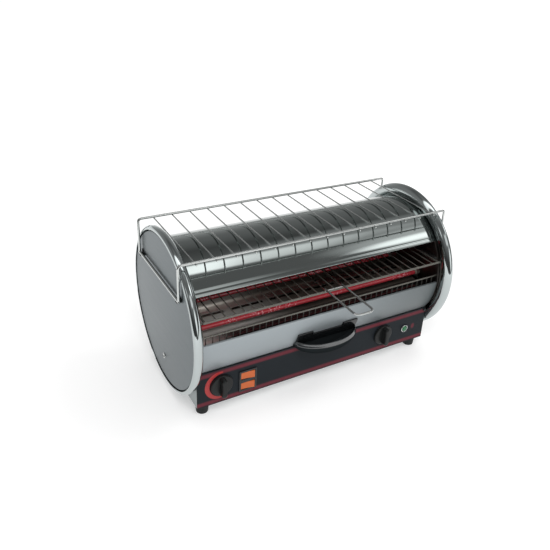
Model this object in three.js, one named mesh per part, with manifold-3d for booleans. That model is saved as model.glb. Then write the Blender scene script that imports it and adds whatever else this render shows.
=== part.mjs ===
// Counter-top drum toaster, as an assembly of separate named pieces.
// Millimetres. X runs left to right, Y from front to back, Z up. The drum's axis lies along X.
import * as THREE from 'three';
import { mergeVertices } from 'three/addons/utils/BufferGeometryUtils.js';
import Module from 'manifold-3d';

const wasm = await Module();
wasm.setup();

// Fits: the gap kept where two pieces seat, the clearance of pieces that move, and one overrun for all cuts
const seat = 0.3;
const slideGap = 0.6;
const overrun = 20;

// Drum and chamber
const axisAboveDeck = 82;
const drumRadius = 148.5;
const coverSheet = 1.2;
const chamberWidth = 584.6;
const wallSheet = 1.2;
const wallFlangeDepth = 8.4;
const lipAngle = 37.2;
const lipBeadRadius = 1.5;
const lipHemDepth = 6.5;

// Round ends
const rimStand = 26.5;
const rimWidth = 12.5;
const rimWall = 1.5;
const rimWebWidth = 12.5;
const rimUndersideGap = 2;
const rimShoulderWidth = 15.5;
const rimOuterRound = 7.5;
const rimLipWidth = 8.6;
const endPanelGap = 2;
const endPanelRecess = 1.5;
const endPanelSheet = 1.2;
const endPanelEdgeRound = 2.4;
const endPanelEdgeDepth = 5;
const endPanelSeatInset = 2;

// Base box
const footHeight = 26;
const baseHeight = 83;
const baseDepth = 254;
const baseSheet = 1.5;
const baseFrontReturn = 11;
const deckSheet = 1.3;
const deckLip = 9;
const fasciaSheet = 1.7;
const ventLength = 46;
const ventWidth = 4;
const ventPitch = 11;
const ventGroupOffset = 150;
const ventCount = 6;

// Feet
const footRadius = 15;
const footToeRadius = 12.6;
const footEdge = 2.4;
const footSideInset = 19;
const footEndInset = 21;

// Quartz tubes, ceramic ends and their brackets
const tubeRadius = 5.5;
const upperTubePitch = 82;
const lowerTubePitch = 99;
const lowerTubeShift = 17;
const lowerTubeDrop = 6.5;
const upperTubeRise = 95;
const capRadius = 7.3;
const capLength = 12.5;
const capEndGap = 0.7;
const tubeBracketHeight = 23;
const tubeBracketReach = 10.2;
const tubeBracketSheet = 1.2;
const tubeBracketStandoff = 8.3;
const tubeBracketFoot = 7.6;

// Reflectors
const reflectorSheet = 1;
const reflectorGap = 9.5;
const upperReflectorStartAngle = 43;
const upperReflectorEndAngle = 137;
const rearReflectorStartAngle = 139.5;
const rearReflectorEndAngle = 206;
const lowerReflectorDrop = 12.5;
const lowerReflectorWave = 4.5;
const crumbSlotWidth = 9;
const crumbSlotLength = 76;
const crumbSlotPitch = 92;
const crumbSlotCount = 6;

// Guards of the tubes
const guardRodRadius = 1.8;
const guardWireRadius = 1.1;
const upperGuardDrop = 11.5;
const upperGuardDepth = 190;
const upperGuardWireCount = 13;
const lowerGuardTall = 19;
const lowerGuardSetback = 7.5;
const lowerGuardWirePitch = 14.3;
const lowerGuardEndSpace = 10;

// Toasting grid, its handle and its runners
const gridRise = 51;
const gridFrontReach = 149;
const gridRearReach = 106;
const gridRailRadius = 2.5;
const gridSideRadius = 2.3;
const gridSideInset = 8.7;
const gridRailOverhang = 4.4;
const gridWireRadius = 1.25;
const gridWirePitch = 20.2;
const gridWireEndSpace = 15;
const gridWeld = 0.5;
const bowHalfWidth = 21;
const bowReach = 256;
const bowBackReach = 24;
const bowCornerRadius = 11;
const bowWireRadius = 2.1;
const runnerSheet = 1;
const runnerDepth = 8;
const runnerFrontReach = 132;
const runnerRearReach = 124;

// Crumb tray, its front and its guides
const traySheet = 1;
const trayHalfWidth = 281;
const trayFrontReach = 120;
const trayRearReach = 112;
const trayHeight = 38;
const trayFrontHalfWidth = 290.2;
const trayFrontTopAngle = -0.9;
const trayFrontTopReturn = 4.6;
const trayFrontFloorGap = 1.4;
const guideSheet = 1.2;
const guideHeight = 15;
const guideFoot = 6.5;

// Pull handle of the tray
const pullHalfWidth = 78;
const pullReach = 47;
const pullSetback = 6.3;
const pullRimRise = 21.5;
const pullWallHeight = 8.5;
const pullBowlDepth = 32.5;
const pullWall = 3.4;
const pullRimRound = 7;
const pullTabTopRise = 40.5;
const pullTabHalfWidth = 75;
const pullNotchHalfWidth = 37;
const pullNotchRise = 32;
const pullFlangeBottomRise = 7;
const pullFlange = 3;

// Controls
const controlHeight = 70.5;
const timerOffset = -240;
const heatOffset = 167;
const knobRadius = 24;
const knobSkirt = 6;
const knobGripWidth = 12;
const knobGripWaist = 9.5;
const knobGripHeight = 14;
const knobGripInset = 1.2;
const knobEdge = 1.6;
const knobBoreDepth = 13;
const spindleRadius = 3;
const spindleHoleRadius = 5.2;
const spindleBehind = 22;
const controlBodyWidth = 42;
const controlBodyHeight = 38;
const controlBodyDepth = 30;
const controlBushRadius = 8;
const controlBushLength = 5;
const controlBodyChamfer = 4;

// Switches
const switchOffset = -180.5;
const switchHeight = 62.5;
const rockerPitch = 25.5;
const rockerLength = 30;
const rockerHeight = 16.5;
const rockerTilt = 8;
const rockerEndReach = 6.2;
const rockerMiddleReach = 4.8;
const rockerBackReach = 1.4;
const rockerKeel = 2.2;
const rockerPivotDepth = 2.6;
const rockerEndGap = 1;
const switchFrameMargin = 4;
const switchFrameThickness = 2.4;
const switchBodyMargin = 1.6;
const switchBodyDepth = 26;
const switchPocketDepth = 9;

// Pilot lamp
const lampOffset = 232.5;
const lampHeight = 67;
const lampBezelRadius = 9.5;
const lampBezelHeight = 3;
const lampBarrelRadius = 8;
const lampBarrelLength = 24;
const lampLensRadius = 7;
const lampLensDome = 2.6;
const lampLensDepth = 9;

// Supply
const glandOffset = 232;
const glandHeight = 62;
const glandBoreRadius = 4.2;
const glandBodyRadius = 9.5;
const glandFlangeRadius = 13;
const glandFlange = 4;
const glandLength = 19;
const glandThreadRadius = 8;
const glandInside = 9;
const blockWidth = 58;
const blockDepth = 20;
const blockHeight = 17;
const blockStep = 7;
const blockWayCount = 5;
const blockWayRadius = 2.4;
const blockBackGap = 14;

// Warming rack and its rests
const rackRise = 155.8;
const rackFrontReach = 107;
const rackRearReach = 115.5;
const rackWireRadius = 2.6;
const rackCornerRadius = 7;
const rackCrossRadius = 1.6;
const rackCrossCount = 15;
const rackCrossPitch = 40.4;
const rackCrossOvershoot = 5;
const rackWeld = 0.5;
const rackSideRodRise = 81.4;
const rackSideRodRadius = 3;
const rackRestWidth = 9;
const rackRestAboveRod = 8.1;
const rackRestPlate = 1.1;
const rackRestFloor = 1.6;
const rackRestReach = 7;

// Fineness of round shapes
const rimSegments = 36;
const rimDomeSteps = 4;
const rimTurnSteps = 2;
const rimInsideSteps = 2;
const tubeSides = 8;
const controlSegments = 18;
const smallSegments = 14;
const wallSegments = 36;
const coverSteps = 38;
const reflectorSteps = 16;
const waveSteps = 24;
const wireSides = 8;
const thinWireSides = 5;
const rodSides = 6;
const guardWireSides = 4;
const bendSteps = 4;

// Places worked out from the sizes above
const chamberHalf = chamberWidth / 2;
const wallFlangeEnd = chamberHalf + wallFlangeDepth;
const rimInner = wallFlangeEnd + seat;
const rimOuter = rimInner + rimWidth;
const coverHalf = rimInner - seat;
const rimReach = chamberHalf + seat;
const rimRadius = drumRadius + rimStand;
const rimWebRadius = drumRadius - rimWebWidth;
const rimShoulderRadius = rimRadius - rimShoulderWidth;
const rimLipRadius = rimRadius - rimLipWidth;
const endPanelRadius = rimLipRadius - endPanelGap;
const endPanelSeatRadius = drumRadius - endPanelSeatInset;
const reflectorRadius = drumRadius - reflectorGap;
const wallFlangeRadius = drumRadius - coverSheet - seat;
const baseHalf = chamberHalf - seat;
const baseTop = footHeight + baseHeight;
const axisHeight = baseTop + axisAboveDeck;
const baseFront = -baseDepth / 2;
const baseBack = baseDepth / 2;
const fasciaBack = baseFront + fasciaSheet;
const baseWallTop = baseTop - deckSheet - seat;
const endPanelOuter = rimOuter - endPanelRecess;
const lowerTubeHeight = axisHeight - lowerTubeDrop;
const upperTubeHeight = axisHeight + upperTubeRise;
const lowerReflectorHeight = lowerTubeHeight - lowerReflectorDrop;
const upperGuardHeight = upperTubeHeight - upperGuardDrop;
const lowerGuardBottomHeight = lowerTubeHeight;
const lowerGuardTopHeight = lowerGuardBottomHeight + lowerGuardTall;
const gridHeight = axisHeight + gridRise;
const gridSideHalf = chamberHalf - gridSideInset;
const gridWireCount = Math.floor((2 * gridSideHalf - 2 * gridWireEndSpace) / gridWirePitch) + 1;
const pullRimHeight = baseTop + pullRimRise;
const pullTabTopHeight = baseTop + pullTabTopRise;
const pullNotchHeight = baseTop + pullNotchRise;
const pullFlangeBottomHeight = baseTop + pullFlangeBottomRise;
const rackHeight = axisHeight + rackRise;
const rackSideRodHeight = axisHeight + rackSideRodRise;
const rackRestTopHeight = rackSideRodHeight + rackRestAboveRod;
const rackHalfWidth = endPanelOuter + seat + rackRestPlate + slideGap + rackSideRodRadius;
const toRadians = Math.PI / 180;

// Materials
const polishedSteel = metal(0x9aa09f, 0.12);
const satinSteel = metal(0x8b9094, 0.42);
const trayFrontSteel = metal(0xa4abae, 0.3);
const reflectorSteel = metal(0xa8a6a0, 0.16);
const plainSteel = metal(0x8f9496, 0.5);
const wireChrome = metal(0xb4b8b8, 0.18);
const fasciaPaint = plastic(0x2c2f31, 0.4);
const blackPlastic = plastic(0x17191a, 0.3);
const blackRubber = plastic(0x101212, 0.8);
const orangePlastic = plastic(0xc86432, 0.35);
const greenPlastic = plastic(0x1f7a46, 0.2);
const quartzGlass = plastic(0xa84246, 0.15);
const whiteCeramic = plastic(0xd8d2c4, 0.7);

function metal(color, roughness) {
  return new THREE.MeshStandardMaterial({ color, roughness, metalness: 1 });
}

function plastic(color, roughness) {
  return new THREE.MeshStandardMaterial({ color, roughness, metalness: 0 });
}

// Geometry kit: merged closed meshes, prisms along each axis, turned shapes, wires and boolean joins
function clean(geometry) {
  const bare = new THREE.BufferGeometry();
  bare.setAttribute('position', geometry.getAttribute('position').clone());
  if (geometry.index) bare.setIndex(geometry.index.clone());
  const merged = mergeVertices(bare);
  const corners = merged.index.array;
  const kept = [];
  for (let i = 0; i < corners.length; i += 3) {
    const [a, b, c] = [corners[i], corners[i + 1], corners[i + 2]];
    if (a !== b && b !== c && c !== a) kept.push(a, b, c);
  }
  merged.setIndex(kept);
  return facingOut(merged);
}

function signedVolume(geometry) {
  const position = geometry.getAttribute('position');
  const corners = geometry.index.array;
  const a = new THREE.Vector3();
  const b = new THREE.Vector3();
  const c = new THREE.Vector3();
  let sum = 0;
  for (let i = 0; i < corners.length; i += 3) {
    a.fromBufferAttribute(position, corners[i]);
    b.fromBufferAttribute(position, corners[i + 1]);
    c.fromBufferAttribute(position, corners[i + 2]);
    sum += a.dot(b.cross(c));
  }
  return sum;
}

function facingOut(geometry) {
  if (signedVolume(geometry) > 0) return geometry;
  const corners = Array.from(geometry.index.array);
  for (let i = 0; i < corners.length; i += 3) [corners[i], corners[i + 1]] = [corners[i + 1], corners[i]];
  geometry.setIndex(corners);
  return geometry;
}

function solid(geometry) {
  const closed = clean(geometry);
  return new wasm.Manifold(new wasm.Mesh({
    numProp: 3,
    vertProperties: new Float32Array(closed.getAttribute('position').array),
    triVerts: new Uint32Array(closed.index.array),
  }));
}

function surface(body) {
  const mesh = body.getMesh();
  const geometry = new THREE.BufferGeometry();
  geometry.setAttribute('position', new THREE.BufferAttribute(new Float32Array(mesh.vertProperties), 3));
  geometry.setIndex(Array.from(mesh.triVerts));
  return geometry;
}

function joined(geometries) {
  return geometries.map(solid).reduce((whole, piece) => whole.add(piece));
}

function cut(geometry, cutters) {
  return surface(solid(geometry).subtract(joined(cutters)));
}

function outline(points) {
  return new THREE.Shape(points.map(([u, v]) => new THREE.Vector2(u, v)));
}

function extruded(shape, depth) {
  return new THREE.ExtrudeGeometry(shape, { depth, bevelEnabled: false, curveSegments: 6 });
}

function facing(geometry, across, up, along) {
  return geometry.applyMatrix4(new THREE.Matrix4().makeBasis(across, up, along));
}

const xAxis = new THREE.Vector3(1, 0, 0);
const yAxis = new THREE.Vector3(0, 1, 0);
const zAxis = new THREE.Vector3(0, 0, 1);

// The outline is given in Y and Z
function prismAlongX(shape, from, to) {
  return facing(extruded(shape, to - from).translate(0, 0, from), yAxis, zAxis, xAxis);
}

// The outline is given in X and Z
function prismAlongY(shape, from, to) {
  return facing(extruded(shape, to - from).translate(0, 0, -to), xAxis, zAxis, yAxis.clone().negate());
}

// The outline is given in X and Y
function prismAlongZ(shape, from, to) {
  return extruded(shape, to - from).translate(0, 0, from);
}

function block(x, y, z) {
  const size = new THREE.Vector3(x[1] - x[0], y[1] - y[0], z[1] - z[0]);
  return new THREE.BoxGeometry(size.x, size.y, size.z)
    .translate(x[0] + size.x / 2, y[0] + size.y / 2, z[0] + size.z / 2);
}

// A turned shape: the profile holds radius and height along the axis
function turned(profile, segments) {
  return new THREE.LatheGeometry(profile.map(([radius, height]) => new THREE.Vector2(radius, height)), segments);
}

function ring(profile, segments) {
  return turned([...profile, profile[0]], segments);
}

function alongX(geometry, sign = 1) {
  return facing(geometry, zAxis.clone().multiplyScalar(sign), xAxis.clone().multiplyScalar(sign), yAxis);
}

function towardsFront(geometry) {
  return geometry.rotateX(Math.PI);
}

function standing(geometry) {
  return geometry.rotateX(Math.PI / 2);
}

function cylinder(radius, from, to, sides) {
  return new THREE.CylinderGeometry(radius, radius, to - from, sides).translate(0, (from + to) / 2, 0);
}

// Points on a circle about the drum's axis, as Y and Z; 0 degrees is the front, 90 the top, 180 the back
function drumPoint(radius, angle) {
  return [-radius * Math.cos(angle * toRadians), axisHeight + radius * Math.sin(angle * toRadians)];
}

function drumArc(radius, from, to, steps) {
  return Array.from({ length: steps + 1 }, (_, i) => drumPoint(radius, from + (to - from) * i / steps));
}

// Depth in Y of the drum's surface of this radius at a height
function drumDepth(radius, height) {
  return Math.sqrt(radius ** 2 - (height - axisHeight) ** 2);
}

function drumAngle(radius, height) {
  return Math.asin((height - axisHeight) / radius) / toRadians;
}

// A bent sheet: the path is its outer side, and the sheet's thickness lies to the path's left
function sheetOutline(path, thickness) {
  const points = path.map(([u, v]) => new THREE.Vector2(u, v));
  const normal = (from, to) => {
    const along = to.clone().sub(from).normalize();
    return new THREE.Vector2(-along.y, along.x);
  };
  const inner = points.map((point, i) => {
    const before = i > 0 ? normal(points[i - 1], point) : normal(point, points[i + 1]);
    const after = i < points.length - 1 ? normal(point, points[i + 1]) : before;
    const mitre = before.clone().add(after).normalize();
    return point.clone().addScaledVector(mitre, thickness / mitre.dot(after));
  });
  return new THREE.Shape([...points, ...inner.reverse()]);
}

// A route through set points, which a wire's section follows with one ring at each point
class Route extends THREE.Curve {
  constructor(points) {
    super();
    this.points = points;
  }

  getUtoTmapping(u) {
    return u;
  }

  getPoint(t, target = new THREE.Vector3()) {
    const place = t * (this.points.length - 1);
    const i = Math.min(Math.floor(place), this.points.length - 2);
    return target.lerpVectors(this.points[i], this.points[i + 1], place - i);
  }

  getTangent(t, target = new THREE.Vector3()) {
    const last = this.points.length - 1;
    const i = Math.round(t * last);
    const before = this.points[i].clone().sub(this.points[Math.max(i - 1, 0)]).normalize();
    const after = this.points[Math.min(i + 1, last)].clone().sub(this.points[i]).normalize();
    return target.copy(before.add(after).normalize());
  }
}

function rounded(corners, radii) {
  const points = [corners[0]];
  for (let i = 1; i < corners.length - 1; i += 1) {
    const towards = corners[i - 1].clone().sub(corners[i]).normalize();
    const away = corners[i + 1].clone().sub(corners[i]).normalize();
    const bend = new THREE.QuadraticBezierCurve3(
      corners[i].clone().addScaledVector(towards, radii[i - 1]),
      corners[i],
      corners[i].clone().addScaledVector(away, radii[i - 1]),
    );
    points.push(...bend.getPoints(bendSteps));
  }
  return [...points, corners[corners.length - 1]];
}

function wire(points, radius, sides) {
  const section = new THREE.Shape(Array.from({ length: sides }, (_, i) => {
    const turn = (i + 0.5) / sides * 2 * Math.PI;
    return new THREE.Vector2(radius * Math.cos(turn), radius * Math.sin(turn));
  }));
  return new THREE.ExtrudeGeometry(section, {
    steps: points.length - 1, extrudePath: new Route(points), bevelEnabled: false,
  });
}

function straightWire(from, to, radius, sides) {
  return wire([new THREE.Vector3(...from), new THREE.Vector3(...to)], radius, sides);
}

function spread(count, pitch) {
  return Array.from({ length: count }, (_, i) => (i - (count - 1) / 2) * pitch);
}

const object = new THREE.Group();

function add(name, geometry, material) {
  const mesh = new THREE.Mesh(clean(geometry), material);
  mesh.name = name;
  object.add(mesh);
  return mesh;
}

const sides = [['left', -1], ['right', 1]];

// Drum: one rolled sheet from the hemmed lip over the mouth to the back of the base
function drumCover() {
  const endAngle = 180 - drumAngle(drumRadius, baseTop + seat);
  const outer = drumArc(drumRadius, lipAngle, endAngle, coverSteps);
  const inner = drumArc(drumRadius - coverSheet, lipAngle, endAngle, coverSteps);
  const edge = drumPoint(drumRadius - lipBeadRadius, lipAngle);
  const foldAngle = lipAngle + lipHemDepth / drumRadius / toRadians;
  const fold = [
    ...drumArc(drumRadius - coverSheet / 2, lipAngle, foldAngle, 2),
    ...drumArc(drumRadius - 2 * coverSheet, lipAngle, foldAngle, 2).reverse(),
  ];
  const hemHalf = chamberHalf - seat;
  const sheet = prismAlongX(outline([...outer, ...inner.reverse()]), -coverHalf, coverHalf);
  const hem = prismAlongX(outline(fold), -hemHalf, hemHalf);
  const roll = alongX(cylinder(lipBeadRadius, -hemHalf, hemHalf, 10)).translate(0, edge[0], edge[1]);
  return surface(joined([sheet, hem, roll]));
}

// Side walls: dished discs whose flange, turned outwards, carries the cover and shows as the mouth's jamb
function sideWall(sign) {
  const web = chamberHalf;
  return alongX(turned([
    [0, web],
    [wallFlangeRadius, web],
    [wallFlangeRadius, wallFlangeEnd],
    [wallFlangeRadius - wallSheet, wallFlangeEnd],
    [wallFlangeRadius - wallSheet, web + wallSheet],
    [0, web + wallSheet],
  ], wallSegments), sign);
}

// Points on a quarter of an ellipse; each end is given as its share of the two half axes
function quarterTurn(centre, halfAxes, from, to, steps) {
  return Array.from({ length: steps + 1 }, (_, i) => {
    const turn = (from + (to - from) * i / steps) * toRadians;
    return [centre[0] + halfAxes[0] * Math.cos(turn), centre[1] + halfAxes[1] * Math.sin(turn)];
  });
}

// Rims: a web against the side wall, curled back over the drum, domed out to the crest and round to a lip
function rimSection(sheet, domeSteps, turnSteps) {
  const web = rimInner + sheet;
  const under = drumRadius + rimUndersideGap + sheet;
  const reach = rimReach + sheet;
  const crest = rimOuter - rimOuterRound;
  const shoulder = rimShoulderRadius;
  const outerCentre = rimRadius - rimOuterRound;
  return [
    [rimWebRadius, web],
    [under, web],
    ...quarterTurn([shoulder, rimInner], [under - shoulder, reach - rimInner], 0, 90, turnSteps).slice(1, -1),
    ...quarterTurn([shoulder, crest], [rimRadius - sheet - shoulder, reach - crest], 90, 0, domeSteps),
    ...quarterTurn([outerCentre, crest], [rimOuterRound - sheet, rimOuterRound - sheet], 0, 90, turnSteps).slice(1),
    [rimLipRadius, rimOuter - sheet],
  ];
}

function rim(sign) {
  const outside = rimSection(0, rimDomeSteps, rimTurnSteps);
  const inside = rimSection(rimWall, rimInsideSteps, 1).reverse();
  return alongX(ring([...outside, ...inside], rimSegments), sign);
}

// End panels: shallow dished discs set inside the rims, each on a ring that stands on the rim's web
function endPanel(sign) {
  const seatPlace = rimInner + rimWall + seat;
  const edgeInner = endPanelRadius - endPanelSheet;
  const edgeEnd = endPanelOuter - endPanelEdgeDepth;
  const back = endPanelOuter - endPanelSheet;
  return alongX(turned([
    [0, endPanelOuter],
    [endPanelRadius - endPanelEdgeRound, endPanelOuter],
    [endPanelRadius, endPanelOuter - endPanelEdgeRound],
    [endPanelRadius, edgeEnd],
    [edgeInner, edgeEnd],
    [endPanelRadius - endPanelEdgeRound, back],
    [endPanelSeatRadius, back],
    [endPanelSeatRadius, seatPlace],
    [endPanelSeatRadius - endPanelSheet, seatPlace],
    [endPanelSeatRadius - endPanelSheet, back],
    [0, back],
  ], rimSegments), sign);
}

// Rack rests: small angles on the end panels that carry the side rods and stand inside the legs
function rackRest(sign) {
  const inner = endPanelOuter + seat;
  const top = rackSideRodHeight - rackSideRodRadius - seat;
  const low = top - rackRestFloor;
  return prismAlongY(outline([
    [sign * inner, low],
    [sign * (inner + rackRestReach), low],
    [sign * (inner + rackRestReach), top],
    [sign * (inner + rackRestPlate), top],
    [sign * (inner + rackRestPlate), rackRestTopHeight],
    [sign * inner, rackRestTopHeight],
  ]), -rackRestWidth / 2, rackRestWidth / 2);
}

const rackRestSetback = rackWireRadius + slideGap + rackRestWidth / 2;
const rackRestPlaces = [['front', rackRestSetback - rackFrontReach], ['rear', rackRearReach - rackRestSetback]];

// Reflectors: two rolled sheets under the cover, and a waved sheet under the lower tubes
function rolledReflector(from, to) {
  const outer = drumArc(reflectorRadius, from, to, reflectorSteps);
  const inner = drumArc(reflectorRadius - reflectorSheet, from, to, reflectorSteps);
  return prismAlongX(outline([...outer, ...inner.reverse()]), seat - chamberHalf, chamberHalf - seat);
}

function bracketInner() {
  return chamberHalf - tubeBracketStandoff;
}

function lowerReflector() {
  const half = bracketInner() - seat;
  const lowest = lowerReflectorHeight - lowerReflectorWave - reflectorSheet;
  const reach = drumDepth(reflectorRadius - reflectorSheet, lowest) - seat - reflectorSheet;
  const steps = waveSteps;
  const wave = Array.from({ length: steps + 1 }, (_, i) => {
    const y = reach - 2 * reach * i / steps;
    const turn = 2 * Math.PI * (y - lowerTubeShift) / lowerTubePitch;
    return [y, lowerReflectorHeight - lowerReflectorWave * Math.cos(turn)];
  });
  const sheet = prismAlongX(sheetOutline(wave, reflectorSheet), -half, half);
  const rows = [-0.5, 0.5].map((share) => lowerTubeShift + share * lowerTubePitch);
  const slots = rows.flatMap((y) => spread(crumbSlotCount, crumbSlotPitch).map((x) =>
    block(
      [x - crumbSlotLength / 2, x + crumbSlotLength / 2],
      [y - crumbSlotWidth / 2, y + crumbSlotWidth / 2],
      [lowerReflectorHeight - overrun, lowerReflectorHeight + overrun],
    )));
  return cut(sheet, slots);
}

// Quartz tubes with their ceramic ends, each turned in one piece
function quartzTube(y, height) {
  const end = chamberHalf - capEndGap;
  const neck = end - capLength;
  return alongX(turned([
    [0, -end],
    [capRadius, -end],
    [capRadius, -neck],
    [tubeRadius, -neck],
    [tubeRadius, neck],
    [capRadius, neck],
    [capRadius, end],
    [0, end],
  ], tubeSides)).translate(0, y, height);
}

function tubePlaces(shift, pitch) {
  return [['front', shift - pitch], ['middle', shift], ['rear', shift + pitch]];
}

const tubeRows = {
  upper: { height: upperTubeHeight, places: tubePlaces(0, upperTubePitch) },
  lower: { height: lowerTubeHeight, places: tubePlaces(lowerTubeShift, lowerTubePitch) },
};

// Brackets: an angle on each side wall with a hole for each ceramic end, cut to clear the reflector
function tubeBracket(sign, { height, places }) {
  const inner = bracketInner();
  const front = places[0][1] - tubeBracketReach;
  const rear = places[places.length - 1][1] + tubeBracketReach;
  const low = height - tubeBracketHeight / 2;
  const angle = outline([
    [sign * inner, low],
    [sign * (inner + tubeBracketFoot), low],
    [sign * (inner + tubeBracketFoot), low + tubeBracketSheet],
    [sign * (inner + tubeBracketSheet), low + tubeBracketSheet],
    [sign * (inner + tubeBracketSheet), low + tubeBracketHeight],
    [sign * inner, low + tubeBracketHeight],
  ]);
  const holes = places.map(([, y]) =>
    alongX(cylinder(capRadius + seat, inner - overrun / 4, inner + overrun / 4, 12), sign).translate(0, y, height));
  const room = alongX(cylinder(reflectorRadius - reflectorSheet - seat, -chamberHalf, chamberHalf, 48))
    .translate(0, 0, axisHeight);
  return surface(solid(prismAlongY(angle, front, rear)).subtract(joined(holes)).intersect(solid(room)));
}

// Guards: a wire grid under the upper tubes and a low wire fence in front of the lower tubes
function upperGuard() {
  const half = chamberHalf - seat;
  const y = upperGuardDepth / 2;
  const rods = [-y, y].map((place) =>
    straightWire([-half, place, upperGuardHeight], [half, place, upperGuardHeight], guardRodRadius, rodSides));
  const pitch = chamberWidth / upperGuardWireCount;
  const wires = spread(upperGuardWireCount, pitch).map((x) =>
    straightWire([x, -y, upperGuardHeight], [x, y, upperGuardHeight], guardWireRadius, guardWireSides));
  return surface(joined([...rods, ...wires]));
}

function lowerGuard() {
  const half = chamberHalf - seat;
  const y = lowerGuardSetback - drumRadius;
  const heights = [lowerGuardBottomHeight, lowerGuardTopHeight];
  const rods = heights.map((z) => straightWire([-half, y, z], [half, y, z], guardRodRadius, rodSides));
  const count = Math.floor((chamberWidth - 2 * lowerGuardEndSpace) / lowerGuardWirePitch) + 1;
  const wires = spread(count, lowerGuardWirePitch).map((x) =>
    straightWire([x, y, heights[0]], [x, y, heights[1]], guardWireRadius, guardWireSides));
  return surface(joined([...rods, ...wires]));
}

// Toasting grid: rails, side wires, cross wires and the bow that pulls it out
function toastingGrid() {
  const railHalf = gridSideHalf + gridRailOverhang;
  const front = -gridFrontReach;
  const rails = [
    straightWire([-railHalf, front, gridHeight], [railHalf, front, gridHeight], gridRailRadius, wireSides),
    straightWire([-gridSideHalf, gridRearReach, gridHeight], [gridSideHalf, gridRearReach, gridHeight],
      gridSideRadius, wireSides),
  ];
  const sideWires = [-gridSideHalf, gridSideHalf].map((x) =>
    straightWire([x, front, gridHeight], [x, gridRearReach, gridHeight], gridSideRadius, wireSides));
  const wireHeight = gridHeight + gridSideRadius + gridWireRadius - gridWeld;
  const crossWires = spread(gridWireCount, gridWirePitch).map((x) =>
    straightWire([x, front, wireHeight], [x, gridRearReach, wireHeight], gridWireRadius, thinWireSides));
  const bowHeight = wireHeight + gridWireRadius + bowWireRadius - gridWeld;
  const bow = wire(rounded([
    new THREE.Vector3(-bowHalfWidth, -bowBackReach, bowHeight),
    new THREE.Vector3(-bowHalfWidth, -bowReach, bowHeight),
    new THREE.Vector3(bowHalfWidth, -bowReach, bowHeight),
    new THREE.Vector3(bowHalfWidth, -bowBackReach, bowHeight),
  ], [bowCornerRadius, bowCornerRadius]), bowWireRadius, wireSides);
  const crossing = [front, -bowBackReach].map((y) => straightWire(
    [-bowHalfWidth, y, wireHeight], [bowHalfWidth, y, wireHeight], gridWireRadius, thinWireSides));
  const lugs = [-bowHalfWidth, bowHalfWidth].flatMap((x) => [front, -bowBackReach].map((y) => straightWire(
    [x, y, gridHeight], [x, y, bowHeight], gridWireRadius, thinWireSides)));
  return surface(joined([...rails, ...sideWires, ...crossWires, bow, ...crossing, ...lugs]));
}

// Runners: channels on the side walls in which the grid's side wires slide
function gridRunner(sign) {
  const back = chamberHalf - seat;
  const open = back - runnerDepth;
  const half = gridSideRadius + slideGap;
  const channel = sheetOutline([
    [sign * open, gridHeight - half - runnerSheet],
    [sign * back, gridHeight - half - runnerSheet],
    [sign * back, gridHeight + half + runnerSheet],
    [sign * open, gridHeight + half + runnerSheet],
  ], sign * runnerSheet);
  return prismAlongY(channel, -runnerFrontReach, runnerRearReach);
}

// Crumb tray: an open pan on the deck, its rolled front and its guides
const trayFloor = baseTop + seat;

function crumbTray() {
  const outside = block([-trayHalfWidth, trayHalfWidth], [-trayFrontReach, trayRearReach],
    [trayFloor, trayFloor + trayHeight]);
  const inside = block([traySheet - trayHalfWidth, trayHalfWidth - traySheet],
    [traySheet - trayFrontReach, trayRearReach - traySheet],
    [trayFloor + traySheet, trayFloor + trayHeight + overrun]);
  return cut(outside, [inside]);
}

function trayFront() {
  const low = baseTop + trayFrontFloorGap;
  const bottomAngle = drumAngle(drumRadius, low);
  const arc = drumArc(drumRadius, trayFrontTopAngle, bottomAngle, 12);
  const top = arc[0];
  const bottom = arc[arc.length - 1];
  const path = [
    [top[0] + trayFrontTopReturn, top[1]],
    ...arc,
    [-trayFrontReach - seat, bottom[1]],
  ];
  return prismAlongX(sheetOutline(path, traySheet), -trayFrontHalfWidth, trayFrontHalfWidth);
}

function trayGuide(sign) {
  const inner = trayHalfWidth + slideGap;
  const low = baseTop + seat;
  const angle = outline([
    [sign * inner, low],
    [sign * (inner + guideFoot), low],
    [sign * (inner + guideFoot), low + guideSheet],
    [sign * (inner + guideSheet), low + guideSheet],
    [sign * (inner + guideSheet), low + guideHeight],
    [sign * inner, low + guideHeight],
  ]);
  return prismAlongY(angle, -trayFrontReach, trayRearReach);
}

// Pull handle: a half-moon cup open at the top, on a flange rolled to the tray's front
function pullBowl(shrink, brim) {
  const steps = 6;
  const quarter = Array.from({ length: steps + 1 }, (_, i) => {
    const turn = i / steps * Math.PI / 2;
    return [Math.sin(turn), (shrink - pullBowlDepth) * Math.cos(turn)];
  });
  return standing(turned([...quarter, ...brim, [0, brim[brim.length - 1][1]]], controlSegments))
    .scale(pullHalfWidth - shrink, pullReach - shrink, 1)
    .translate(0, pullSetback - drumDepth(drumRadius, pullRimHeight), pullRimHeight - pullWallHeight);
}

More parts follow.
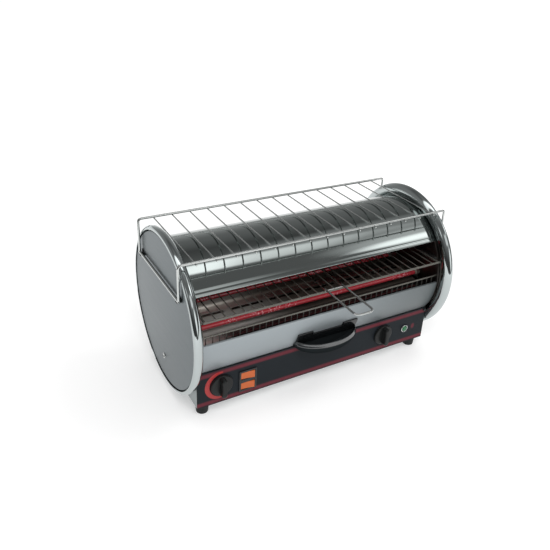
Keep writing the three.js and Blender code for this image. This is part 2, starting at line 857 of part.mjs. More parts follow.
function trayHandle() {
  const seatRadius = drumRadius + seat;
  const tabArc = (radius) => drumArc(radius, drumAngle(radius, pullTabTopHeight),
    drumAngle(radius, pullFlangeBottomHeight), 6);
  const flange = prismAlongX(outline([
    ...tabArc(seatRadius + pullFlange),
    ...tabArc(seatRadius - seat).reverse(),
  ]), -pullTabHalfWidth, pullTabHalfWidth);
  const notch = block([-pullNotchHalfWidth, pullNotchHalfWidth],
    [-drumRadius - overrun, -drumRadius + overrun],
    [pullNotchHeight, pullNotchHeight + overrun]);
  const panel = alongX(cylinder(seatRadius, -pullHalfWidth - overrun, pullHalfWidth + overrun, 90))
    .translate(0, 0, axisHeight);
  const fasciaRoom = block([-pullHalfWidth - overrun, pullHalfWidth + overrun],
    [baseFront - slideGap, baseFront + pullReach], [footHeight, baseTop + slideGap]);
  const wallShare = pullWall / pullHalfWidth;
  const outside = pullBowl(0, [
    [1, pullWallHeight - pullRimRound],
    [1 - wallShare / 4, pullWallHeight - pullRimRound / 3],
    [1 - wallShare * 3 / 4, pullWallHeight],
  ]);
  const cup = solid(outside).subtract(solid(pullBowl(pullWall, [[1, pullWallHeight + overrun]])));
  const plate = solid(flange).subtract(solid(notch));
  return surface(cup.add(plate).subtract(solid(panel)).subtract(solid(fasciaRoom)));
}

// Base box: a folded pan open at the front and top, with vents in its bottom and back
function baseBody() {
  const front = fasciaBack + seat;
  const outside = block([-baseHalf, baseHalf], [front, baseBack], [footHeight, baseWallTop]);
  const inside = block([baseSheet - baseHalf, baseHalf - baseSheet], [front + baseSheet, baseBack - baseSheet],
    [footHeight + baseSheet, baseWallTop + overrun]);
  const mouth = block([baseFrontReturn - baseHalf, baseHalf - baseFrontReturn], [front - overrun, front + overrun],
    [footHeight + baseSheet, baseWallTop + overrun]);
  const vents = [-ventGroupOffset, ventGroupOffset].flatMap((centre) => spread(ventCount, ventPitch).flatMap((step) => [
    block([centre + step - ventWidth / 2, centre + step + ventWidth / 2], [-ventLength / 2, ventLength / 2],
      [footHeight - overrun, footHeight + overrun]),
    block([centre + step - ventWidth / 2, centre + step + ventWidth / 2], [baseBack - overrun, baseBack + overrun],
      [footHeight + baseHeight / 2 - ventLength / 2, footHeight + baseHeight / 2 + ventLength / 2]),
  ]));
  const inlet = towardsFront(cylinder(glandThreadRadius + seat, -baseBack - overrun, overrun - baseBack, 16))
    .translate(glandOffset, 0, glandHeight);
  return cut(outside, [inside, mouth, ...vents, inlet]);
}

function baseDeck() {
  const front = fasciaBack + seat;
  const inner = front + baseSheet + seat;
  const back = baseBack - baseSheet - seat;
  const section = outline([
    [front, baseTop],
    [baseBack, baseTop],
    [baseBack, baseTop - deckSheet],
    [back, baseTop - deckSheet],
    [back, baseTop - deckSheet - deckLip],
    [back - deckSheet, baseTop - deckSheet - deckLip],
    [back - deckSheet, baseTop - deckSheet],
    [inner + deckSheet, baseTop - deckSheet],
    [inner + deckSheet, baseTop - deckSheet - deckLip],
    [inner, baseTop - deckSheet - deckLip],
    [inner, baseTop - deckSheet],
    [front, baseTop - deckSheet],
  ].reverse());
  const lipRoom = [-1, 1].map((sign) => block(
    [sign > 0 ? baseHalf - baseFrontReturn - seat : -baseHalf - overrun,
      sign > 0 ? baseHalf + overrun : baseFrontReturn + seat - baseHalf],
    [front - overrun, baseBack + overrun],
    [baseTop - deckSheet - deckLip - overrun, baseTop - deckSheet],
  ));
  return cut(prismAlongX(section, -baseHalf, baseHalf), lipRoom);
}

// Fascia: the front plate of the base, with the holes of its controls
function rockerWindow() {
  return { length: rockerLength + 2 * rockerEndGap, height: rockerHeight + 2 * seat };
}

function switchCutout() {
  const window = rockerWindow();
  return {
    halfLength: window.length / 2 + switchBodyMargin,
    halfHeight: (rockerPitch + window.height) / 2 + switchBodyMargin,
  };
}

function fascia() {
  const plate = outline([
    [-baseHalf, footHeight], [baseHalf, footHeight], [baseHalf, baseTop], [-baseHalf, baseTop],
  ]);
  const round = (x, z, radius) => {
    const hole = new THREE.Path();
    hole.absarc(x, z, radius, 0, 2 * Math.PI, true);
    return hole;
  };
  const cutout = switchCutout();
  const square = new THREE.Path([
    [-1, -1], [-1, 1], [1, 1], [1, -1],
  ].map(([u, v]) => new THREE.Vector2(
    switchOffset + u * (cutout.halfLength + seat),
    switchHeight + v * (cutout.halfHeight + seat),
  )));
  plate.holes.push(
    round(timerOffset, controlHeight, spindleHoleRadius),
    round(heatOffset, controlHeight, spindleHoleRadius),
    round(lampOffset, lampHeight, lampBarrelRadius + seat),
    square,
  );
  return prismAlongY(plate, baseFront, fasciaBack);
}

// Knobs: a skirt with a waisted grip across it, on a spindle that turns in the body behind the fascia
const knobBack = baseFront - slideGap;

function knob(x) {
  const skirt = towardsFront(turned([
    [0, 0],
    [knobRadius, 0],
    [knobRadius, knobSkirt - knobEdge],
    [knobRadius - knobEdge, knobSkirt],
    [0, knobSkirt],
  ], controlSegments));
  const top = knobRadius - knobGripInset;
  const half = knobGripWidth / 2;
  const bar = new THREE.Shape();
  bar.moveTo(-half, top - half);
  bar.quadraticCurveTo(-half, top, 0, top);
  bar.quadraticCurveTo(half, top, half, top - half);
  bar.quadraticCurveTo(knobGripWaist / 2, 0, half, half - top);
  bar.quadraticCurveTo(half, -top, 0, -top);
  bar.quadraticCurveTo(-half, -top, -half, half - top);
  bar.quadraticCurveTo(-knobGripWaist / 2, 0, -half, top - half);
  const grip = prismAlongY(bar, -knobSkirt - knobGripHeight, -knobSkirt / 2);
  const bore = towardsFront(cylinder(spindleRadius + seat, -overrun, knobBoreDepth, 12));
  return surface(joined([skirt, grip]).subtract(solid(bore))).translate(x, knobBack, controlHeight);
}

function spindle(x) {
  const front = knobBack - knobBoreDepth + seat;
  const back = fasciaBack + spindleBehind;
  return towardsFront(cylinder(spindleRadius, -back, -front, 12)).translate(x, 0, controlHeight);
}

function controlBody(x) {
  const front = fasciaBack + seat + controlBushLength;
  const half = controlBodyWidth / 2;
  const tall = controlBodyHeight / 2;
  const corner = controlBodyChamfer;
  const box = prismAlongY(outline([
    [corner - half, -tall], [half - corner, -tall], [half, corner - tall], [half, tall - corner],
    [half - corner, tall], [corner - half, tall], [-half, tall - corner], [-half, corner - tall],
  ]), front, front + controlBodyDepth);
  const bush = towardsFront(cylinder(controlBushRadius, -front - seat, controlBushLength - front, 16));
  const bore = towardsFront(cylinder(spindleRadius + seat, -fasciaBack - spindleBehind - slideGap, overrun - front, 12));
  return surface(joined([box, bush]).subtract(solid(bore))).translate(x, 0, controlHeight);
}

// Switches: two rockers in one frame, with their shared body behind the fascia
const rockerPlaces = [['upper_rocker', 0.5], ['lower_rocker', -0.5]];
const rockerPivot = baseFront + rockerPivotDepth;

function rocker(share) {
  const half = rockerLength / 2;
  const section = outline([
    [-half, -rockerEndReach], [0, -rockerMiddleReach], [half, -rockerEndReach],
    [half, rockerBackReach], [0, rockerBackReach + rockerKeel], [-half, rockerBackReach],
  ]);
  return prismAlongZ(section, -rockerHeight / 2, rockerHeight / 2)
    .rotateZ(-rockerTilt * toRadians)
    .translate(switchOffset, rockerPivot, switchHeight + share * rockerPitch);
}

function rockerRooms(from, to) {
  const window = rockerWindow();
  return rockerPlaces.map(([, share]) => {
    const centre = switchHeight + share * rockerPitch;
    return block([switchOffset - window.length / 2, switchOffset + window.length / 2], [from, to],
      [centre - window.height / 2, centre + window.height / 2]);
  });
}

function switchFrame() {
  const window = rockerWindow();
  const back = baseFront - seat;
  const halfLength = window.length / 2 + switchFrameMargin;
  const halfHeight = (rockerPitch + window.height) / 2 + switchFrameMargin;
  const plate = block([switchOffset - halfLength, switchOffset + halfLength], [back - switchFrameThickness, back],
    [switchHeight - halfHeight, switchHeight + halfHeight]);
  return cut(plate, rockerRooms(back - overrun, back + overrun));
}

function switchBody() {
  const cutout = switchCutout();
  const front = baseFront;
  const box = block([switchOffset - cutout.halfLength, switchOffset + cutout.halfLength],
    [front, front + switchBodyDepth],
    [switchHeight - cutout.halfHeight, switchHeight + cutout.halfHeight]);
  return cut(box, rockerRooms(front - overrun, front + switchPocketDepth));
}

// Pilot lamp: a bezel whose barrel passes the fascia, and a domed lens in it
function lampBezel() {
  const back = seat;
  const front = seat + lampBezelHeight;
  const bore = lampLensRadius + seat;
  const floor = front - lampLensDepth - seat;
  return towardsFront(turned([
    [0, -lampBarrelLength],
    [lampBarrelRadius, -lampBarrelLength],
    [lampBarrelRadius, back],
    [lampBezelRadius, back],
    [lampBezelRadius, front - lampBezelHeight / 3],
    [bore + (lampBezelRadius - bore) / 2, front],
    [bore, front - lampBezelHeight / 4],
    [bore, floor],
    [0, floor],
  ], smallSegments)).translate(lampOffset, baseFront, lampHeight);
}

function lampLens() {
  const front = seat + lampBezelHeight - lampBezelHeight / 4;
  const back = seat + lampBezelHeight - lampLensDepth;
  return towardsFront(turned([
    [0, back],
    [lampLensRadius, back],
    [lampLensRadius, front],
    [lampLensRadius * 0.7, front + lampLensDome * 0.7],
    [0, front + lampLensDome],
  ], smallSegments)).translate(lampOffset, baseFront, lampHeight);
}

// Supply: a gland in the back of the base and the terminal block behind it
function cableGland() {
  return ring([
    [glandBoreRadius, -baseSheet - glandInside],
    [glandThreadRadius, -baseSheet - glandInside],
    [glandThreadRadius, seat],
    [glandFlangeRadius, seat],
    [glandFlangeRadius, glandFlange],
    [glandBodyRadius, glandFlange],
    [glandBodyRadius, glandLength * 0.7],
    [glandBodyRadius * 0.75, glandLength],
    [glandBoreRadius, glandLength],
  ], smallSegments).translate(glandOffset, baseBack, glandHeight);
}

function terminalBlock() {
  const low = footHeight + baseSheet + seat;
  const back = baseBack - baseSheet - blockBackGap - glandInside;
  const front = back - blockDepth;
  const section = outline([
    [front, low], [back, low], [back, low + blockHeight - blockStep], [back - blockStep, low + blockHeight - blockStep],
    [back - blockStep, low + blockHeight], [front + blockStep, low + blockHeight],
    [front + blockStep, low + blockHeight - blockStep], [front, low + blockHeight - blockStep],
  ]);
  const body = prismAlongX(section, glandOffset - blockWidth / 2, glandOffset + blockWidth / 2);
  const ways = spread(blockWayCount, blockWidth / blockWayCount).map((x) =>
    towardsFront(cylinder(blockWayRadius, -back - overrun, overrun - front, 8))
      .translate(glandOffset + x, 0, low + (blockHeight - blockStep) / 2));
  return cut(body, ways);
}

// Feet
function foot() {
  const top = footHeight - seat;
  return standing(turned([
    [0, 0],
    [footToeRadius - footEdge, 0],
    [footToeRadius, footEdge],
    [footRadius, top],
    [0, top],
  ], smallSegments));
}

// Warming rack: two bent frame wires, a rod that joins their legs at each end and cross wires under the rails
function warmingRack() {
  const frames = [-rackFrontReach, rackRearReach].map((y) => wire(rounded([
    new THREE.Vector3(-rackHalfWidth, y, rackSideRodHeight),
    new THREE.Vector3(-rackHalfWidth, y, rackHeight),
    new THREE.Vector3(rackHalfWidth, y, rackHeight),
    new THREE.Vector3(rackHalfWidth, y, rackSideRodHeight),
  ], [rackCornerRadius, rackCornerRadius]), rackWireRadius, wireSides));
  const sideRods = [-rackHalfWidth, rackHalfWidth].map((x) => straightWire(
    [x, -rackFrontReach - rackWireRadius, rackSideRodHeight],
    [x, rackRearReach + rackWireRadius, rackSideRodHeight],
    rackSideRodRadius, wireSides));
  const crossHeight = rackHeight - rackWireRadius - rackCrossRadius + rackWeld;
  const crossWires = spread(rackCrossCount, rackCrossPitch).map((x) => straightWire(
    [x, -rackFrontReach - rackCrossOvershoot, crossHeight],
    [x, rackRearReach + rackCrossOvershoot, crossHeight],
    rackCrossRadius, thinWireSides));
  return surface(joined([...frames, ...sideRods, ...crossWires]));
}

// Assembly
add('drum_cover', drumCover(), polishedSteel);
for (const [side, sign] of sides) {
  add(`${side}_rim`, rim(sign), polishedSteel).position.z = axisHeight;
  add(`${side}_end_panel`, endPanel(sign), satinSteel).position.z = axisHeight;
  add(`${side}_side_wall`, sideWall(sign), reflectorSteel).position.z = axisHeight;
  add(`${side}_grid_runner`, gridRunner(sign), plainSteel);
  add(`${side}_tray_guide`, trayGuide(sign), plainSteel);
  add(`upper_${side}_tube_bracket`, tubeBracket(sign, tubeRows.upper), plainSteel);
  add(`lower_${side}_tube_bracket`, tubeBracket(sign, tubeRows.lower), plainSteel);
  for (const [end, y] of rackRestPlaces) {
    add(`${side}_${end}_rack_rest`, rackRest(sign), blackRubber).position.y = y;
  }
}
add('upper_reflector', rolledReflector(upperReflectorStartAngle, upperReflectorEndAngle), reflectorSteel);
add('rear_reflector', rolledReflector(rearReflectorStartAngle, rearReflectorEndAngle), reflectorSteel);
add('lower_reflector', lowerReflector(), reflectorSteel);
for (const [row, { height, places }] of Object.entries(tubeRows)) {
  for (const [place, y] of places) {
    add(`${row}_${place}_quartz_tube`, quartzTube(y, height), quartzGlass);
  }
}
add('upper_guard', upperGuard(), wireChrome);
add('lower_guard', lowerGuard(), wireChrome);
add('toasting_grid', toastingGrid(), wireChrome);
add('crumb_tray', crumbTray(), reflectorSteel);
add('tray_front', trayFront(), trayFrontSteel);
add('tray_handle', trayHandle(), blackPlastic);
add('base_body', baseBody(), plainSteel);
add('base_deck', baseDeck(), plainSteel);
add('control_fascia', fascia(), fasciaPaint);
for (const [name, x] of [['timer', timerOffset], ['heat', heatOffset]]) {
  add(`${name}_knob`, knob(x), blackPlastic);
  add(`${name}_spindle`, spindle(x), plainSteel);
  add(`${name}_control_body`, controlBody(x), whiteCeramic);
}
add('switch_frame', switchFrame(), blackPlastic);
add('switch_body', switchBody(), blackPlastic);
for (const [name, share] of rockerPlaces) {
  add(name, rocker(share), orangePlastic);
}
add('lamp_bezel', lampBezel(), wireChrome);
add('lamp_lens', lampLens(), greenPlastic);
add('cable_gland', cableGland(), blackPlastic);
add('terminal_block', terminalBlock(), whiteCeramic);
const footX = baseHalf - footSideInset;
const footY = baseDepth / 2 - footEndInset;
for (const [side, sign] of sides) {
  for (const [end, along] of [['front', -1], ['rear', 1]]) {
    add(`${side}_${end}_foot`, foot(), blackRubber).position.set(sign * footX, along * footY, 0);
  }
}
add('warming_rack', warmingRack(), wireChrome);

// The origin lies on the ground, under the middle of the whole object from the bow's tip to the rims' back
object.position.y = (bowReach + bowWireRadius - rimRadius) / 2;

export default object;
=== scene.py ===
import math

import bmesh
import bpy
from mathutils import Matrix, Vector


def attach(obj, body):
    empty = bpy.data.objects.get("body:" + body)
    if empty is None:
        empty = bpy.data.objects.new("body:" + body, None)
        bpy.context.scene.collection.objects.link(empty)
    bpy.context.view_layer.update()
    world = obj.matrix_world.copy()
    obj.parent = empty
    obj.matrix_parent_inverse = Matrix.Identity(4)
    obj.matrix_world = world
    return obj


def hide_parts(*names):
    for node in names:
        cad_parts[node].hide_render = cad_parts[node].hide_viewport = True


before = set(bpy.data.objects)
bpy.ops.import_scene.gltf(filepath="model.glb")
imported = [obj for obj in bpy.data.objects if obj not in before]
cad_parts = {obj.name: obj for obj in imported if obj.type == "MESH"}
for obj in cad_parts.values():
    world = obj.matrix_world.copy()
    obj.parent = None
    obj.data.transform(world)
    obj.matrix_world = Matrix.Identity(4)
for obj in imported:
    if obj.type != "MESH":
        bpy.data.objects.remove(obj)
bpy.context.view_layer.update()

# Sizes in millimetres and degrees, measured from the drum's axis in Y and from the ground in Z.
# CORE closes a turned form at its axis, SEAT is the play between pieces, WELD how far wires sink together.
MM = 0.001
DEPTH_SHIFT = 41.55
CORE = 0.01
SEAT = 0.3
WELD = 0.5
AXIS_Z = 191.0
DRUM_R = 148.5
COVER_SHEET = 1.2
LIP_ANGLE = 37.2
HEM_DEPTH = 6.5
COVER_HALF = 300.7
CHAMBER_HALF = 292.3
REFLECTOR_HALF = 292.0
RIM_INNER = 301.0
RIM_OUTER = 313.5
RIM_R = 175.0
RIM_ROUND = 7.5
PANEL_FACE = 312.0
PANEL_R = 164.4
PANEL_SHEET = 1.2
BASE_TOP = 109.0
FRONT_Y = -127.0
KNOB_Z = 70.5
TIMER_X = -240.0
HEAT_X = 167.0
LOWER_TUBE_Z = 184.5
LOWER_TUBE_PITCH = 99.0
LOWER_TUBE_SHIFT = 17.0
SIDES = (("left", -1), ("right", 1))


def place(x, y, z):
    """A point given in millimetres from the drum's axis, in the metres of the frame."""
    return Vector((x, y + DEPTH_SHIFT, z)) * MM


def drum(radius, angle):
    """Y and Z of a point on a circle about the drum's axis: 0 is the front, 90 the top, 180 the back."""
    turn = math.radians(angle)
    return -radius * math.cos(turn), AXIS_Z + radius * math.sin(turn)


class Form:
    """Collects closed shells in millimetres and makes one mesh object of them."""

    def __init__(self):
        self.points = []
        self.faces = []

    def shell(self, points, faces):
        start = len(self.points)
        self.points += [place(*p) for p in points]
        self.faces += [[start + i for i in face] for face in faces]

    def grid(self, rings, loop=False):
        """Joins rings of equal length one after the other, in a loop or with both ends closed."""
        count = len(rings[0])
        points = [p for ring in rings for p in ring]
        faces = []
        for i in range(len(rings) if loop else len(rings) - 1):
            a, b = i * count, (i + 1) % len(rings) * count
            for j in range(count):
                k = (j + 1) % count
                faces.append([a + j, a + k, b + k, b + j])
        if not loop:
            faces.append(list(range(count))[::-1])
            faces.append([(len(rings) - 1) * count + j for j in range(count)])
        self.shell(points, faces)

    def wire(self, path, radius, sides):
        """A round wire along the points of a path, with slightly rounded ends."""
        tip_share, tip_length = 0.72, 0.3
        path = [Vector(p) for p in path]
        last = len(path) - 1
        rings = []
        across = None
        for i, point in enumerate(path):
            along = (path[min(i + 1, last)] - path[max(i - 1, 0)]).normalized()
            if across is None:
                across = along.orthogonal().normalized()
            across = (across - along * across.dot(along)).normalized()
            rings.append((point, across, along.cross(across), along))
        first, end = (self.section(rings[i], radius * tip_share, sides) for i in (0, -1))
        for i, sign in ((0, 1), (-1, -1)):
            point, u, v, along = rings[i]
            rings[i] = (point + along * sign * radius * tip_length, u, v, along)
        self.grid([first] + [self.section(ring, radius, sides) for ring in rings] + [end])

    @staticmethod
    def section(ring, radius, sides):
        """A circle across the wire at one of its rings."""
        point, u, v, _ = ring
        return [tuple(point + (u * math.cos(t) + v * math.sin(t)) * radius)
                for t in (2 * math.pi * i / sides for i in range(sides))]

    def lathe(self, profile, centre, axis, sign, sides, closed=False):
        """Turns a profile of (radius, height) about an axis through centre. A closed profile makes a ring."""
        rings = []
        for radius, height in profile:
            ring = []
            for i in range(sides):
                t = 2 * math.pi * i / sides
                a, b, h = radius * math.cos(t), radius * math.sin(t) * sign, sign * height
                offset = {"x": (h, a, b), "y": (a, h, -b), "z": (a, b, h)}[axis]
                ring.append(tuple(c + d for c, d in zip(centre, offset)))
            rings.append(ring)
        self.grid(rings, loop=closed)

    def sheet_x(self, outer, inner, low, high):
        """A bent sheet along X between two paths of (y, z)."""
        loop = list(outer) + list(inner)[::-1]
        count, half = len(loop), len(outer)
        points = [(low, y, z) for y, z in loop] + [(high, y, z) for y, z in loop]
        faces = [[j, count + j, count + (j + 1) % count, (j + 1) % count] for j in range(count)]
        for i in range(half - 1):
            a, b, c, d = i, i + 1, count - 2 - i, count - 1 - i
            faces.append([a, b, c, d])
            faces.append([count + d, count + c, count + b, count + a])
        self.shell(points, faces)

    def block(self, x, y, z):
        """A box between two values of X, of Y and of Z."""
        corners = [(a, b, c) for a in x for b in y for c in z]
        self.shell(corners, [[0, 1, 3, 2], [4, 6, 7, 5], [0, 4, 5, 1], [2, 3, 7, 6], [0, 2, 6, 4],
                             [1, 5, 7, 3]])

    def prism(self, outline, low, high, axis):
        """An outline in the plane across Y or Z, drawn out along that axis."""
        def at(u, v, w):
            return (u, w, v) if axis == "y" else (u, v, w)
        count = len(outline)
        points = [at(u, v, low) for u, v in outline] + [at(u, v, high) for u, v in outline]
        faces = [[j, (j + 1) % count, count + (j + 1) % count, count + j] for j in range(count)]
        faces += [list(range(count))[::-1], [count + j for j in range(count)]]
        self.shell(points, faces)

    def done(self, name, body, material, replaces=(), bevel=0.0, sharp=32):
        """Makes the mesh object, on its body, in the place of the nodes that it replaces."""
        mesh = bpy.data.meshes.new(name)
        mesh.from_pydata([tuple(p) for p in self.points], [], self.faces)
        mesh.validate()
        obj = bpy.data.objects.new(name, mesh)
        bpy.context.scene.collection.objects.link(obj)
        tidy_normals(mesh)
        mesh.materials.append(material)
        mesh.shade_smooth()
        mesh.set_sharp_from_angle(angle=math.radians(sharp))
        if bevel:
            modifier = obj.modifiers.new("edge", "BEVEL")
            modifier.width = bevel * MM
            modifier.segments = 3
            modifier.limit_method = "ANGLE"
            modifier.angle_limit = math.radians(sharp)
        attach(obj, body)
        for node in replaces:
            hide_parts(node)


def tidy_normals(mesh):
    """Turns all faces of closed shells outward."""
    work = bmesh.new()
    work.from_mesh(mesh)
    bmesh.ops.recalc_face_normals(work, faces=work.faces)
    work.to_mesh(mesh)
    work.free()


def arc(radius, start, end, steps):
    """Points on a circle about the drum's axis, from one angle to another."""
    return [drum(radius, start + (end - start) * i / steps) for i in range(steps + 1)]


def bent(corners, radii, steps=8):
    """A path through corners, with each corner between its ends rounded."""
    corners = [Vector(c) for c in corners]
    path = [corners[0]]
    for i in range(1, len(corners) - 1):
        before = (corners[i - 1] - corners[i]).normalized() * radii[i - 1]
        after = (corners[i + 1] - corners[i]).normalized() * radii[i - 1]
        a, b, c = corners[i] + before, corners[i], corners[i] + after
        for k in range(steps + 1):
            t = k / steps
            path.append(a * (1 - t) ** 2 + b * 2 * t * (1 - t) + c * t ** 2)
    path.append(corners[-1])
    return path


# Materials
EVEN = (1, 1, 1)
SPECULAR = "Specular IOR Level"


class Graph:
    """The nodes of a material or of the world, with short ways to add and join them."""

    def __init__(self, tree):
        self.nodes, self.links = tree.nodes, tree.links

    def put(self, value, socket):
        """Sets a socket to a value, or joins it to another node's output."""
        if isinstance(value, bpy.types.NodeSocket):
            self.links.new(value, socket)
        else:
            socket.default_value = value

    def add(self, kind, *inputs, **settings):
        """A node with its settings and with (socket, value or output) for its inputs."""
        node = self.nodes.new("ShaderNode" + kind)
        for name, value in settings.items():
            setattr(node, name, value)
        for key, value in inputs:
            self.put(value, node.inputs[key])
        return node

    def surface(self, name):
        return self.nodes["Principled BSDF"].inputs[name]

    def position(self):
        """The point on the piece, in its own coordinates and in metres."""
        return next(n for n in self.nodes if n.type == "TEX_COORD").outputs["Object"]

    def along(self, axis):
        return self.add("SeparateXYZ", ("Vector", self.position())).outputs[axis]

    def do(self, operation, *values):
        return self.add("Math", *enumerate(values), operation=operation).outputs[0]

    def length(self, vector):
        return self.add("VectorMath", (0, vector), operation="LENGTH").outputs["Value"]

    def step(self, value, low, high, top=1.0, bottom=0.0):
        """A smooth step from bottom to top, while a value goes from low to high."""
        node = self.add("MapRange", ("Value", value), ("From Min", low), ("From Max", high),
                        ("To Min", bottom), ("To Max", top), interpolation_type="SMOOTHSTEP")
        return node.outputs["Result"]

    def ramp(self, value, stops):
        """Levels between stops of (value, level)."""
        node = self.add("ValToRGB", ("Fac", value))
        while len(node.color_ramp.elements) < len(stops):
            node.color_ramp.elements.new(0.5)
        for element, (at, level) in zip(node.color_ramp.elements, stops):
            element.position = at
            element.color = (level, level, level, 1)
        return node.outputs["Color"]

    def tint(self, color, factor):
        """Mixes a second colour into the base colour."""
        base = self.surface("Base Color")
        blend = self.add("Mix", ("Factor", factor), ("A", base.links[0].from_socket), ("B", (*color, 1)),
                         data_type="RGBA")
        self.put(blend.outputs["Result"], base)


def shade(name, color, rough, metal, grain, grain_scale, rough_spread, bump, tint, coat=0.0, ior=None):
    """A material with its own fine noise in roughness and height, and a broad one in colour."""
    coat_rough, fine_detail, broad_scale, broad_detail, bump_height = 0.05, 4.0, 9.0, 3.0, 0.0004
    material = bpy.data.materials.new(name)
    material.use_nodes = True
    graph = Graph(material.node_tree)
    graph.put(metal, graph.surface("Metallic"))
    if coat:
        graph.put(coat, graph.surface("Coat Weight"))
        graph.put(coat_rough, graph.surface("Coat Roughness"))
    if ior:
        graph.put(ior, graph.surface("IOR"))
    position = graph.add("TexCoord").outputs["Object"]
    stretched = graph.add("Mapping", ("Vector", position), ("Scale", grain)).outputs["Vector"]
    fine = graph.add("TexNoise", ("Vector", stretched), ("Scale", grain_scale), ("Detail", fine_detail))
    broad = graph.add("TexNoise", ("Vector", position), ("Scale", broad_scale), ("Detail", broad_detail))
    blend = graph.add("Mix", ("Factor", broad.outputs["Fac"]),
                      ("A", (*[max(c * (1 - tint), 0) for c in color], 1)),
                      ("B", (*[min(c * (1 + tint), 1) for c in color], 1)), data_type="RGBA")
    graph.put(blend.outputs["Result"], graph.surface("Base Color"))
    spread = graph.add("MapRange", ("Value", fine.outputs["Fac"]),
                       ("To Min", max(rough - rough_spread, 0.01)), ("To Max", min(rough + rough_spread, 1)))
    graph.put(spread.outputs["Result"], graph.surface("Roughness"))
    if bump:
        height = graph.add("Bump", ("Height", fine.outputs["Fac"]), ("Strength", bump),
                           ("Distance", bump_height))
        graph.put(height.outputs["Normal"], graph.surface("Normal"))
    return material


# Colour, roughness, metal, stretch and scale of the grain, spread of roughness, bump, spread of colour
POLISHED = shade("polished_steel", (0.315, 0.345, 0.338), 0.07, 1, (0.3, 1, 1), 60, 0.03, 0.012, 0.03)
RIM_STEEL = shade("rim_steel", (0.47, 0.51, 0.51), 0.07, 1, EVEN, 60, 0.03, 0.012, 0.03)
SATIN = shade("satin_steel", (0.148, 0.170, 0.179), 0.36, 1, (1, 1, 60), 14, 0.06, 0.02, 0.03)
MIRROR = shade("reflector_steel", (0.80, 0.78, 0.74), 0.16, 1, EVEN, 40, 0.05, 0.05, 0.12)
PLAIN = shade("plain_steel", (0.33, 0.36, 0.365), 0.38, 1, EVEN, 120, 0.08, 0.03, 0.05)
CHROME = shade("wire_chrome", (0.56, 0.58, 0.57), 0.08, 1, EVEN, 300, 0.05, 0.02, 0.05)
GRID_WIRE = shade("grid_wire", (0.15, 0.145, 0.128), 0.25, 0.6, EVEN, 260, 0.1, 0.05, 0.2)
BLACK = shade("black_plastic", (0.009, 0.010, 0.011), 0.16, 0, EVEN, 500, 0.04, 0.02, 0.1)
KNOB_BLACK = shade("knob_plastic", (0.010, 0.011, 0.011), 0.34, 0, EVEN, 700, 0.06, 0.05, 0.1)
RUBBER = shade("rubber", (0.008, 0.010, 0.010), 0.75, 0, EVEN, 400, 0.1, 0.2, 0.1)
ORANGE = shade("orange_plastic", (0.62, 0.13, 0.025), 0.3, 0, EVEN, 300, 0.05, 0.02, 0.06)
GREEN = shade("green_lens", (0.008, 0.15, 0.05), 0.12, 0, EVEN, 200, 0.03, 0.0, 0.05, coat=0.15)
CERAMIC = shade("ceramic", (0.15, 0.13, 0.11), 0.6, 0, EVEN, 220, 0.08, 0.1, 0.05)
RED_PRINT = shade("red_print", (0.42, 0.030, 0.030), 0.45, 0, EVEN, 300, 0.05, 0.0, 0.06)
# Dark steel for the side walls: painted shade for the dim walls of the chamber.
WALL_PAINTED_SHADE = shade("wall_steel_painted_shade", (0.15, 0.135, 0.128), 0.34, 1, EVEN, 60, 0.08, 0.04, 0.2)
GUARD_WIRE = shade("guard_wire", (0.05, 0.048, 0.043), 0.35, 0.6, EVEN, 260, 0.08, 0.03, 0.2)
# Near black for the screw's slot: painted shade on a block inside the head.
SLOT_PAINTED_SHADE = shade("slot_painted_shade", (0.012, 0.013, 0.014), 0.6, 0, EVEN, 300, 0.05, 0.0, 0.06)


def reflector_painted_shade_material():
    """Reflector steel with painted shade, darker toward the right and at the lower front, for the dim
    reflections there.
    """
    material = shade("reflector_steel_painted_shade", (0.94, 0.90, 0.85), 0.15, 0.55, EVEN, 40, 0.05, 0.05, 0.1)
    graph = Graph(material.node_tree)
    # Painted shade: a brown darkening toward the right, and near black toward the front away from the left
    # end.
    to_the_right = graph.step(graph.along("X"), -0.22, -0.02)
    graph.tint((0.13, 0.105, 0.09), to_the_right)
    to_the_front = graph.step(graph.along("Y"), -0.040, -0.058)
    off_the_left_end = graph.step(graph.along("X"), -0.30, -0.20)
    graph.tint((0.02, 0.019, 0.018), graph.do("MULTIPLY", to_the_front, off_the_left_end))
    return material


def handle_material():
    """Black plastic, matt on the bowl and glossy on its shoulder and rim."""
    material = shade("handle_plastic", (0.019, 0.023, 0.025), 0.13, 0, EVEN, 500, 0.04, 0.0, 0.1, ior=1.66)
    graph = Graph(material.node_tree)
    above_the_bowl = graph.step(graph.along("Z"), 0.121, 0.1235)
    graph.put(above_the_bowl, graph.surface(SPECULAR))
    return material


def quartz_material():
    """Red quartz glass with small pale flecks in patches, painted glints standing for the light on its coil's
    windings.
    """
    material = shade("quartz_glass", (0.42, 0.030, 0.042), 0.10, 0, (0.1, 1, 1), 80, 0.04, 0.03, 0.15,
                     coat=0.8)
    graph = Graph(material.node_tree)
    flecks = graph.add("TexVoronoi", ("Vector", graph.position()), ("Scale", 210.0))
    patches = graph.add("TexNoise", ("Vector", graph.position()), ("Scale", 16.0))
    pale = graph.do("MULTIPLY", graph.step(flecks.outputs["Distance"], 0.42, 0.2),
                    graph.step(patches.outputs["Fac"], 0.46, 0.62, 0.85))
    # The pale tint is a painted highlight, in flecks where the coil's windings catch the light.
    graph.tint((0.85, 0.42, 0.46), pale)
    return material


def brushed_material():
    """Brushed steel, painted a little darker toward the right, for the fall of light seen there."""
    material = shade("brushed_front_steel", (0.36, 0.40, 0.42), 0.42, 0.4, (1, 60, 60), 20, 0.06, 0.02, 0.03)
    graph = Graph(material.node_tree)
    to_the_right = graph.step(graph.along("X"), -0.12, 0.30)
    graph.tint((0.145, 0.165, 0.17), to_the_right)
    return material


